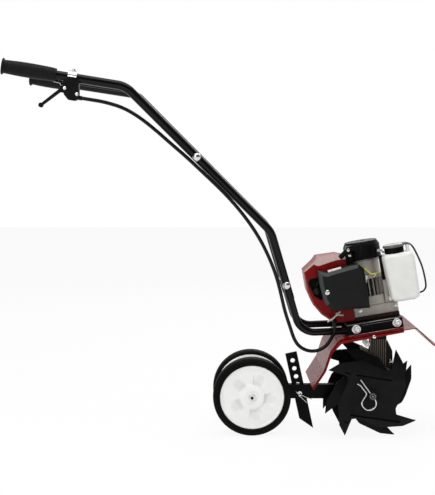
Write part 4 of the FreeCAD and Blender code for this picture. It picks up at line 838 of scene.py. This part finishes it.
def tine(name, side, turn, fold_turn, outer_face, hub):
    """Star plate of four hooked blades, its upper and lower bands folded inwards, on a sleeve."""
    corners, radii = [], []
    for i in range(4):
        for part, angle, rounding in TINE_QUARTER:
            corners.append(polar(part * TINE_RADIUS, angle - 240.0 + turn + i * 90))
            radii.append(rounding)
    outline = rounded(corners, radii, 6)
    form = bmesh.new()
    form.faces.new([form.verts.new((x, 0, z)) for x, z in outline])
    fold = math.radians(fold_turn)
    across = Vector((math.sin(fold), 0, math.cos(fold)))
    for offset in (FOLD_START - 0.5, FOLD_START, FOLD_START + 0.9, FOLD_START + 1.9, FOLD_END, FOLD_END + 0.5):
        for sign in (1, -1):
            bisected(form, across * offset * sign, across)
    slope = math.tan(math.radians(FOLD_ANGLE))
    for vert in form.verts:
        reach = abs(vert.co.dot(across))
        t = ramp(reach, FOLD_START, FOLD_END)
        vert.co.y = slope * (0.5 * (FOLD_END - FOLD_START) * t * t + max(0.0, reach - FOLD_END))
        vert.co.y += 0.55 * max(0.0, 1 - abs(t - 0.5) * 2.4)        # a slight ridge along the fold
        vert.co.y += TINE_PLATE / 2 - outer_face
        if side > 0:
            vert.co.y *= -1
    form.transform(Matrix.Translation(TINE_SHAFT))
    bmesh.ops.recalc_face_normals(form, faces=form.faces)
    bmesh.ops.triangulate(form, faces=[f for f in form.faces if len(f.verts) > 4])
    form.transform(TO_MODEL)
    piece = dress(name, mesh_of(name, form), "tine_paint", "tine_rotor")
    wall = piece.modifiers.new("plate", "SOLIDIFY")
    wall.thickness = TINE_PLATE / 1000
    wall.offset = 0
    eased_edges(piece, 0.6, 2, 50)
    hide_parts(name.replace("_plate", ""))
    inner, outer = hub
    sleeve = lathe([(9.75, inner), (14.4, inner), (15.0, inner + 0.6), (15.0, outer - 0.6), (14.4, outer),
                    (9.75, outer)], pointing(TINE_SHAFT, (0, side, 0)), 40)
    keep(name.replace("_plate", "_sleeve"), sleeve, "tine_paint", "tine_rotor")


for side, name in SIDES:
    tine("outer_tine_%s_plate" % name, side, 240.0, 8.2, 113.0, (92.0, 119.0))
    tine("inner_tine_%s_plate" % name, side, 300.0, 38.2, 67.0, (33.0, 72.0))
eased_node("tine_shaft", "oiled_shaft", 0.8, 3)


def spring_clip(side, name):
    """Bent wire clip: straight leg through the shaft's end, a round loop and a waisted spring leg."""
    lean = math.radians(35.8)
    down = Vector((math.sin(lean), 0, -math.cos(lean)))
    out = Vector((-down.z, 0, down.x))
    middle = Vector((TINE_SHAFT.x, side * 123.5, TINE_SHAFT.z))
    loop = 17.6
    eye = middle + down * 10 - out * loop
    points = [middle - down * 52.8, eye + (down + out) * loop, eye + (down - out) * loop]
    waist = middle - down * 13.67 - out * 7.95
    flare = waist - down * 27 - out * 1
    points += [points[-1] - down * (1.7 * loop), waist, flare, flare - down * 8.6 - out * 4.2]
    line = path_of(points, [0.98 * loop, 0.98 * loop, 0.7 * loop, 6, 6], 1.2)
    keep("spring_clip_" + name, sweep(line, circle(1.9, 14)), "zinc", "tine_rotor", "tine_clip_" + name, ease=0.4)


for side, name in SIDES:
    spring_clip(side, name)

# ======== the engine's own forms
SHROUD_LINE = [(-80, 0), (-108, 6), (-135, 32), (-152, 60), (-162, 98), (-162.6, 150), (-133, 170), (-122, 181),
               (-70, 180), (-50.3, 172), (-50.3, 0)]
SHROUD_FACE = [(-81, 3), (-105.5, 9.5), (-131.5, 34.5), (-147.8, 61.5), (-157.6, 98.5), (-160, 151),
               (-134, 166.5), (-123.5, 160), (-76, 167.5), (-50.3, 166), (-50.3, 3)]
PLUG_WINDOW = [(-156, 120), (-150, 129), (-128, 131), (-116, 112), (-114, 76), (-130, 69), (-146, 84)]


def seat(name, form, kind, **more):
    """Piece made in the engine's own upright frame and put on the leaning engine."""
    keep(name, form, kind, place=SEATED, **more)


def bevel_highlight_skin(outer, face, y_outer, y_face, corners, lift=0.3):
    """Thin skin over the bevel from an outer outline to a face, along some of their corners, to carry a painted
    highlight.
    """
    out = lift if y_face > y_outer else -lift
    low, low_inner = inset(outer, -lift), inset(outer, 0.6)
    inner = inset(face, 0.9)
    return stack([(y_face + out, [face[i] for i in corners] + [inner[i] for i in reversed(corners)]),
                  (y_outer, [low[i] for i in corners] + [low_inner[i] for i in reversed(corners)])])


def shroud():
    """Thin red shroud with broad bevels along its top, a painted sheen on them, a narrow bevel round its back, and the
    plug's recess.
    """
    shell = stack([(-50, SHROUD_FACE), (-40, SHROUD_LINE), (40, SHROUD_LINE), (50, SHROUD_FACE)])
    # the hollow runs out through the front, so that the shroud is open there
    inner, inner_face = ([(x + 9 * (x > -51), z) for x, z in inset(outline, 2.5)]
                         for outline in (SHROUD_LINE, SHROUD_FACE))
    hollow = stack([(-47.5, inner_face), (-38, inner), (38, inner), (47.5, inner_face)])
    window = slab(rounded(PLUG_WINDOW, 5), -60, -44)
    shell = carved(shell, hollow, window)
    seat("shroud_shell", shell, "red_plastic", replaces="cylinder_shroud", ease=1.1, steps=3, sharp=14)
    # painted sheen: pale skins over the top bevels on both sides
    skins = join([bevel_highlight_skin(SHROUD_LINE, SHROUD_FACE, side * 40, side * 50, (5, 6, 7, 8, 9), 0.9)
                  for side in (-1, 1)])
    seat("shroud_bevel", skins, "shroud_bevel")
    rim = rounded(inset(PLUG_WINDOW, 0.4), 4.6)
    well = carved(slab(rim, -50.6, -24), slab(rounded(inset(PLUG_WINDOW, 3.0), 3), -60, -33))
    seat("plug_recess", well, "black_plastic", ease=0.8)
    boot = lathe([(0, -8), (10.5, -8), (10.5, 4), (9.8, 8), (8.2, 11), (5.0, 13), (0, 13.6)],
                 pointing(Vector((-137, -41, 93)), (-0.1, -1, 0.1)), 36)
    bmesh.ops.scale(boot, vec=(1, 0.55, 1), space=Matrix.Translation((137, 41, -93)), verts=boot.verts)
    seat("plug_boot_cap", boot, "boot_rubber")
    lead = path_of([Vector(p) for p in ((-137, -37, 96), (-134, -37, 112), (-124, -36, 124))], [14], 2.0)
    seat("plug_lead", sweep(lead, circle(3.2, 18)), "boot_rubber")


TANK_SIDE, TANK_MIDDLE = -100, -65


def tank():
    """Blow-moulded tank: soft edges, a rear face that leans out towards the top, and a parting line."""
    side_view = rounded([(47.5, 39), (121, 39), (121, 163), (41.0, 163)], [15, 15, 13, 13], 8)
    layers = []
    for i in range(7):
        x, y = polar(11, 15 * (6 - i))
        layers.append((TANK_SIDE + 11 - y, inset(side_view, 11 - x)))
    layers += [(-66, side_view), (-65.5, inset(side_view, -0.55)), (-64.5, inset(side_view, -0.55)), (-64, side_view)]
    layers += [(2 * TANK_MIDDLE - y, outline) for y, outline in reversed(layers[:7])]
    seat("tank_moulding", stack(layers), "tank_plastic", replaces="fuel_tank", sharp=50)


def cap():
    """Black ribbed filler ring under a smoky dome, with the white vent beside it."""
    middle = Matrix.Translation((75.4, -65, 0))
    ring = lathe([(0, 163), (23.6, 163), (24.0, 163.6), (24.0, 178), (0, 178)], middle, 64)
    seat("cap_ring", ring, "black_plastic", replaces="fuel_cap")
    rib = block(22.5, 25.0, -1.0, 1.0, 164.5, 177.5)
    repeated("cap_ribs", rib, "black_plastic", 36, ENGINE_PLACE @ middle)
    dome = lathe([(0, 178), (26.6, 178), (28.0, 179), (28.0, 182), (26.5, 184.6), (22, 186.4), (12, 187), (0, 187)],
                 middle, 64)
    seat("cap_dome", dome, "smoke")
    strap = [(98, 187), (110, 186.2), (119.5, 181.5), (121.5, 175), (118.5, 174.5), (115.5, 179), (108, 182.6),
             (98, 183)]
    seat("cap_strap", slab(rounded(strap, [0, 6, 6, 1, 1, 4, 4, 0]), -76, -54), "smoke", ease=0.6)
    vent = lathe([(0, 162), (5.6, 162), (5.6, 166), (4.2, 167), (4.2, 177), (5.0, 177.6), (5.0, 180), (0, 180.6)],
                 Matrix.Translation((109.5, -69, 0)), 32)
    seat("tank_vent", vent, "label")


CASE_FINS = 22
COLLAR_RADIUS = 44.0       # of the middle of the gasket


def crankcase():
    """Cast crankcase: foot, case, finned middle with painted shade in its gaps, collar with its gasket, neck and tank
    carrier.
    """
    foot = rounded([(-50, 46), (68, 46), (68, -46), (-50, -46)], [2, 12, 12, 2])
    case = rounded([(-50, 42), (40, 42), (40, -42), (-50, -42)], [2, 12, 12, 2])
    forms = [upright(foot, 9.3, 34), upright(case, 34, 58), block(-43.3, 0, -25, 25, 58, 144)]
    seat("case_castings", join(forms), "cast_grey", replaces="crankcase", ease=1.0)
    post = lathe([(0, 58), (35, 58), (35, 104), (42.2, 104), (43, 104.8), (43, 114.2), (42.4, 115), (39.6, 115),
                  (39, 115.8), (39, 156), (0, 156)], Matrix(), 72)
    seat("case_post", post, "cast_grey")
    rings = lathe([(39, 148), (40.4, 148.4), (40.4, 151.6), (39, 152), (38.5, 150)], Matrix(), 72)
    seat("neck_ring", rings, "cast_grey")
    band = []
    for x in range(-6, 43, 2):
        y = -math.sqrt(COLLAR_RADIUS ** 2 - x ** 2)
        z = 133.6 - 1.21 * (x + 6) if x < 10 else 114.3 + max(0.0, 17.2 - x) ** 2 * 0.024
        band.append(Vector((x, y, z - 0.105 * (y + COLLAR_RADIUS))))
    seat("collar_gasket", sweep(band, circle(3.3, 12)), "gasket")
    # painted shade: a dark core behind the fins, standing in for the shade between them
    core = lathe([(35.1, 58.2), (36.4, 58.2), (36.4, 103.8), (35.1, 103.8)], Matrix(), 60)
    seat("fin_shadow", core, "casting_shadow")
    fin = block(34, 43, -1.3, 1.3, 58, 104)
    repeated("case_fins", fin, "cast_grey", CASE_FINS,
             ENGINE_PLACE @ Matrix.Rotation(math.pi / CASE_FINS, 4, "Z"), 0.4)
    carrier = [(36, 40), (46, 40), (46, 92), (40, 100), (36, 100)]
    seat("tank_carrier", slab(carrier, -47, -33), "cast_grey", ease=1.0)
    # painted shade: a black block standing in for the shade in the gap between the case and the tank
    seat("tank_strap", block(36.5, 46.2, -48, -33, 96, 160), "black_paint", ease=0.8)
    saddle = [(36, 34), (58, 34), (58, 38.4), (46.9, 38.4), (46.9, 62), (36, 62)]
    seat("tank_saddle", slab(saddle, -41.5, -8), "cast_grey", ease=1.0)
    duct = block(-50.2, -30, -42, 42, 104, 167)
    seat("air_duct", duct, "black_plastic", ease=2.0)
    bolts = [(on_engine(-4.3, -43.2, 107.5), OUT_RIGHT), (on_engine(-8.5, -43.2, 98.5), OUT_RIGHT),
             (on_engine(20, -39.5, 108.5), (0.45, -0.9, 0)), (on_engine(-4.3, 43.2, 107.5), ACROSS),
             (on_engine(20, 39.5, 108.5), (0.45, 0.9, 0))]
    fastened("collar_bolts", flange_bolt(7, 5.2, 5.0), bolts)
    fastened("foot_bolts", flange_bolt(8, 6.2, 5.0), on_sides(on_engine, (-33, 46.2, 24.5), (60, 46.2, 24.5)))


def starter_trim():
    """Bright screws by the starter's snout, the bent choke plate on its other side and the top's rim."""
    seat("snout_lug", block(-46, -30, -46.5, -30, 166, 180), "black_plastic", ease=1.5)
    fastened("starter_screws", pan_screw(4.2, 3.0), [(on_engine(-41.5, -64.2, 189.0), OUT_RIGHT),
                                                     (on_engine(-38, -46.6, 173), OUT_RIGHT)])
    plate = [(34, 171), (43, 171), (47, 165), (59, 164), (59, 169), (50, 170), (46, 177), (34, 177)]
    seat("choke_plate", slab(plate, -47, -44.5), "zinc", ease=0.4)
    fastened("choke_screws", pan_screw(3.6, 2.6), [(on_engine(40, -47.1, 174), OUT_RIGHT),
                                                   (on_engine(54, -47.1, 167), OUT_RIGHT)])
    rim = lathe([(48.05, 156.5), (49.0, 157), (49.0, 160.5), (48.05, 161)], Matrix(), 72)
    seat("starter_rim", rim, "black_plastic")
    crown = lathe([(42.2, 200.2), (43.0, 201.0), (42.2, 201.9), (38.5, 202.0), (37.5, 201.05), (30, 201.05),
                   (29, 201.9), (12, 201.9), (11, 201.05), (0, 201.05), (0, 200.5), (42, 200.5)], Matrix(), 72)
    seat("starter_crown", crown, "black_plastic")


COVER_LINE = [(-129, 152), (-108, 143), (-96, 145.5), (-25, 153), (-13, 140), (-11.5, 73), (-12.3, 37), (-104, 45),
              (-121, 60), (-126.5, 77), (-130, 117)]


def cover_trim():
    """Blank white plate on the top edge of the muffler guard, its screw, and a painted highlight on its rear and top
    bevels.
    """
    # painted highlight: a paler skin over the rear and top bevels
    skin = bevel_highlight_skin(COVER_LINE, inset(COVER_LINE, 8), -100, -106, (8, 9, 10, 0, 1, 2, 3))
    seat("cover_bevel", skin, "cover_bevel")
    plate = [(-104.4, 144.6), (-69.4, 148.3), (-69.8, 153.6), (-104.8, 149.9)]
    seat("cover_plate", slab(plate, -98.5, -97.3), "label", ease=0.3)
    fastened("cover_screw", pan_screw(6.4, 3.2), [(on_engine(-114.8, -105.1, 94.3), OUT_RIGHT)])


GUARD_HALF = 121.0
GUARD_GAUGE = 2.5
FRONT_FOLD = 476
GUARD_LINE = [mm(243, 0, 132), mm(272, 0, 178), mm(288, 0, 228), on_engine(-106, 0, -30), on_engine(95, 0, -30),
              mm(553, 0, 245), mm(561, 0, 245)]


def lip_depth(x):
    """Depth of the guard's side lip at a place along it: shallow down the rear, deepest at the front fold."""
    table = [(243, 5.0), (286, 6.5), (300, 10.5), (330, 9.5), (410, 9.8), (FRONT_FOLD, 7.0)]
    for (a, low), (b, high) in zip(table, table[1:]):
        if x <= b:
            return low + (high - low) * ramp(x, a, b)
    return table[-1][1]


def guard():
    """Folded sheet over the tines, with a lip down each side as far as the front fold."""
    line = path_of(GUARD_LINE, [26, 26, 22, 10, 8], 2.0)
    squares = [Vector((run.z, 0, -run.x)) for run in headings(line)]
    under = [p + n * GUARD_GAUGE for p, n in zip(line, squares)]
    outline = [(p.x, p.z) for p in line + under[::-1]]
    keep("guard_sheet", slab(outline, -GUARD_HALF, GUARD_HALF), "red_paint", replaces="tine_guard", ease=0.5)
    last = max(i for i in range(len(line)) if line[i].x <= FRONT_FOLD)
    edge = toward(line[last], line[last + 1], (FRONT_FOLD - line[last].x) * 1.01)
    top = line[:last + 1]
    low = [p + n * lip_depth(p.x) for p, n in zip(top, squares)]
    outline = [(p.x, p.z) for p in top + [edge, edge + squares[last] * lip_depth(FRONT_FOLD)] + low[::-1]]
    for side, name in SIDES:
        lip = slab(outline, side * GUARD_HALF, side * (GUARD_HALF - GUARD_GAUGE))
        keep("guard_lip_" + name, lip, "red_paint", ease=0.5)
    fastened("guard_screws", dome_bolt(4.8, 3.4), on_sides(mm, (399.8, GUARD_HALF + 0.1, 266.5)))


def frame_trim():
    """Brown strip under the engine, its brown a painted reflection of the casting, painted highlights along the pan's
    edges, and its four bolts.
    """
    # real strip under the engine, its brown a painted reflection
    seat("mount_strip", block(-49.2, 66.2, -50.3, 50.3, 0.3, 9.3), "mount_strip", ease=0.5)
    for side, name in SIDES:
        # painted highlights: thin pale rods along the pan's sides
        rods = [sweep([on_engine(x, side * y, z) for x in (x0, x1)], circle(radius, sides))
                for x0, x1, y, z, radius, sides in ((-77.5, 66.5, 83.1, -2.2, 1.1, 10), (-40, 43, 84.7, -7.3, 0.5, 8),
                                                    (-77.5, 66.5, 84.6, -29.3, 0.9, 10))]
        keep("pan_edges_" + name, join(rods), "edge_highlight")
    fastened("pan_bolts", flange_bolt(14, 12.0, 8.5), on_sides(on_engine, (-54.5, 84.8, -15), (51.5, 84.8, -15)))
    fastened("gearbox_bolts", flange_bolt(9, 7.6, 5.5), on_sides(mm, (394.6, 21.6, 231.9)))
    fastened("split_bolts", flange_bolt(7, 5.6, 6.5), [(mm(455.1, y, 184.5), (1, 0, 0)) for y in (-12, 12)])


def rib_gap_shade():
    """Painted shade: dark faces between the ribs of the worm housing, where shade falls."""
    outline = [(404.2, 207), (454.8, 163.2), (454.8, 222), (445.8, 244), (445.8, 276), (404.2, 272)]
    for side, name in SIDES:
        keep("rib_gaps_" + name, slab(outline, side * 18.0, side * 19.7), "casting_shadow")


def cable_end():
    """Red bracket of the throttle cable, with the black ferrule that the cable goes up into."""
    bracket = join([block(296.5, 307.5, -90, -50, 306, 308.5), block(296.5, 307.5, -52.5, -50, 306, 326)])
    keep("cable_bracket", bracket, "red_plastic", replaces="cable_stop", ease=0.5)
    ferrule = lathe([(0, 298), (4.9, 298), (5.5, 298.6), (5.5, 305), (4.6, 306), (4.6, 309.5), (0, 309.8)],
                    Matrix.Translation((302, -90, 0)), 28)
    keep("cable_ferrule", ferrule, "black_paint")


def fold_shadow_lines():
    """Painted shadow: thin near-black strips along the folds of the outer tines, where the folds lie in shade."""
    lines = [(327.0, 172.4, 343.2, 168.0), (356.5, 165.9, 449.0, 151.4), (340.7, 61.9, 469.5, 43.6),
             (326.7, 44.6, 335.8, 43.6)]
    for side, name in SIDES:
        strips = [slab([(x0, z0 - 1.8), (x1, z1 - 1.8), (x1, z1 + 1.8), (x0, z0 + 1.8)], side * 112.9, side * 113.25)
                  for x0, z0, x1, z1 in lines]
        keep("tine_fold_lines_" + name, join(strips), "fold_shadow", "tine_rotor")
        end = pointing(Vector((TINE_SHAFT.x, side * 128.9, TINE_SHAFT.z)), (0, side, 0))
        marks = join([lathe([(6.2, 0), (7.4, 0), (7.2, 0.4), (6.4, 0.4)], end, 40),
                      lathe([(0, 0), (2.2, 0), (1.8, 0.4), (0, 0.5)], end, 24)])
        keep("shaft_end_" + name, marks, "steel", "tine_rotor")


def control_fork():
    """Plated fork of the throttle link in front of the shroud."""
    stem = [mm(283, -93, 301), mm(296, -93, 308), mm(309, -93, 321), mm(315.5, -93, 328)]
    prong = [mm(307, -93, 319.5), mm(316, -93, 318.5), mm(324.5, -93, 318)]
    flat = [(-2.0, -1.0), (2.0, -1.0), (2.0, 1.0), (-2.0, 1.0)]
    form = join([sweep(path_of(stem, [20, 20], 1.5), flat), sweep(path_of(prong, [20], 1.5), flat)])
    keep("control_fork", form, "dull_plate", ease=0.3)
    post = lathe([(0, 0), (4.0, 0), (4.0, 44), (2.6, 44.6), (2.6, 46), (0, 46.4)],
                 pointing(mm(309, -49.6, 321), OUT_RIGHT), 24)
    keep("control_post", post, "steel")


def stake_clip():
    """Hairpin through the end of the stake's pin."""
    ball = lathe([(0, -1)] + [(4.3 * math.cos(math.radians(a)), 1.2 + 3.6 * math.sin(math.radians(a)))
                              for a in (-20, 0, 25, 50, 72)] + [(0, 4.8)],
                 pointing(mm(218.4, -15.9, 95.6), OUT_RIGHT), 28)
    y = -14.2
    legs = [sweep(path_of([mm(208.6, y, 103.5), mm(215, y, 97.5), mm(222, y, 94), mm(251, y, 82.2)], [5, 5], 1.0),
                  circle(0.95, 10)),
            sweep(path_of([mm(216, y, 92), mm(224, y, 87), mm(237, y, 73.5)], [8], 1.0), circle(0.95, 10))]
    keep("stake_hairpin", join([ball] + legs), "zinc")


shroud()
tank()
cap()
crankcase()
starter_trim()
cover_trim()
guard()
frame_trim()
rib_gap_shade()
cable_end()
fold_shadow_lines()
control_fork()
stake_clip()

# ======== the rest of the CAD nodes, eased
EASED = {
    "engine_frame": ("black_paint", 1.2),
    "gearbox": ("cast_dark", 0.8), "clutch_housing": ("cast_grey", 0.8), "wheel_bracket": ("black_paint", 0.8),
    "drag_stake": ("black_paint", 0.6), "stake_pin": ("zinc", 0.5),
    "recoil_starter": ("black_plastic", 2.0), "starter_handle": ("black_plastic", 1.2),
    "cylinder": ("cast_grey", 0.3), "spark_plug_boot": ("boot_rubber", 1.0),
    "muffler_guard": ("charcoal_plastic", 0.8), "muffler": ("steel", 1.5),
    "carburettor": ("cast_grey", 1.0), "air_filter": ("black_plastic", 1.0),
}
for node, (kind, ease) in EASED.items():
    eased_node(node, kind, ease)


# ======== studio
def visible_share(tree):
    """1 for rays that show a surface straight, in a reflection or through glass, else 0."""
    path = tree.nodes.new("ShaderNodeLightPath").outputs
    total = path["Is Camera Ray"]
    for name in ("Is Glossy Ray", "Is Transmission Ray"):
        total = node_of(tree, "ShaderNodeMath", total, path[name], operation="MAXIMUM").outputs[0]
    return total


def floor():
    """Pale floor that shows nearly white and keeps a soft shadow."""
    mesh = bpy.data.meshes.new("floor")
    mesh.from_pydata([(-9, -9, 0), (9, -9, 0), (9, 9, 0), (-9, 9, 0)], [], [(0, 1, 2, 3)])
    material = bpy.data.materials.new("floor")
    material.use_nodes = True
    tree = material.node_tree
    tree.nodes.clear()
    pale = node_of(tree, "ShaderNodeBsdfDiffuse", Color=(0.96, 0.96, 0.96, 1))
    white = node_of(tree, "ShaderNodeEmission", Color=(1, 1, 1, 1), Strength=1.0)
    part = node_of(tree, "ShaderNodeMath", visible_share(tree), 0.9, operation="MULTIPLY")
    mixed = node_of(tree, "ShaderNodeMixShader", part.outputs[0], pale.outputs[0], white.outputs[0])
    node_of(tree, "ShaderNodeOutputMaterial", mixed.outputs[0])
    mesh.materials.append(material)
    linked("floor", mesh)


def sky():
    """Even studio light; the backdrop shows white, and the dark room only in reflections towards the viewer."""
    world = bpy.data.worlds.new("studio")
    bpy.context.scene.world = world
    world.use_nodes = True
    tree = world.node_tree
    tree.nodes.clear()
    direction = tree.nodes.new("ShaderNodeTexCoord").outputs["Generated"]
    depth = node_of(tree, "ShaderNodeSeparateXYZ", direction).outputs["Y"]
    room = node_of(tree, "ShaderNodeBackground", Strength=spread(tree, depth, 0.06, 1.0, -0.35, 0.35))
    even = node_of(tree, "ShaderNodeBackground", Color=(1, 1, 1, 1), Strength=0.5)
    white = node_of(tree, "ShaderNodeBackground", Color=(1, 1, 1, 1), Strength=1.0)
    mixed = node_of(tree, "ShaderNodeMixShader", visible_share(tree), even.outputs[0], room.outputs[0])
    straight = tree.nodes.new("ShaderNodeLightPath").outputs["Is Camera Ray"]
    shown = node_of(tree, "ShaderNodeMixShader", straight, mixed.outputs[0], white.outputs[0])
    node_of(tree, "ShaderNodeOutputWorld", shown.outputs[0])


def lamp(name, place, target, size, power):
    """Soft square lamp aimed at a target."""
    light = bpy.data.lights.new(name, "AREA")
    light.shape = "RECTANGLE"
    light.size, light.size_y = size
    light.energy = power
    holder = linked(name, light)
    holder.location = place
    holder.rotation_euler = (Vector(target) - Vector(place)).to_track_quat("-Z", "Y").to_euler()


CAMERA_PLACE = mm(0, -3090, 724)
LOOKS_DOWN = 4.41          # degrees


def camera():
    """Long lens from the right side, a little above."""
    lens = bpy.data.cameras.new("camera")
    lens.lens = 85.38
    lens.sensor_width = 36
    holder = linked("camera", lens)
    holder.location = TO_MODEL @ CAMERA_PLACE
    holder.rotation_euler = (math.radians(90 - LOOKS_DOWN), 0, 0)
    bpy.context.scene.camera = holder


floor()
sky()
lamp("overhead", (0.1, -0.5, 2.8), (0, 0, 0.4), (2.6, 1.6), 38)
lamp("front", (-1.2, -3.4, 1.9), (0, 0, 0.4), (1.2, 1.6), 26)
lamp("back", (1.0, 2.6, 2.0), (0, 0, 0.4), (2.0, 1.4), 20)
camera()
bpy.context.scene.view_settings.view_transform = "Standard"
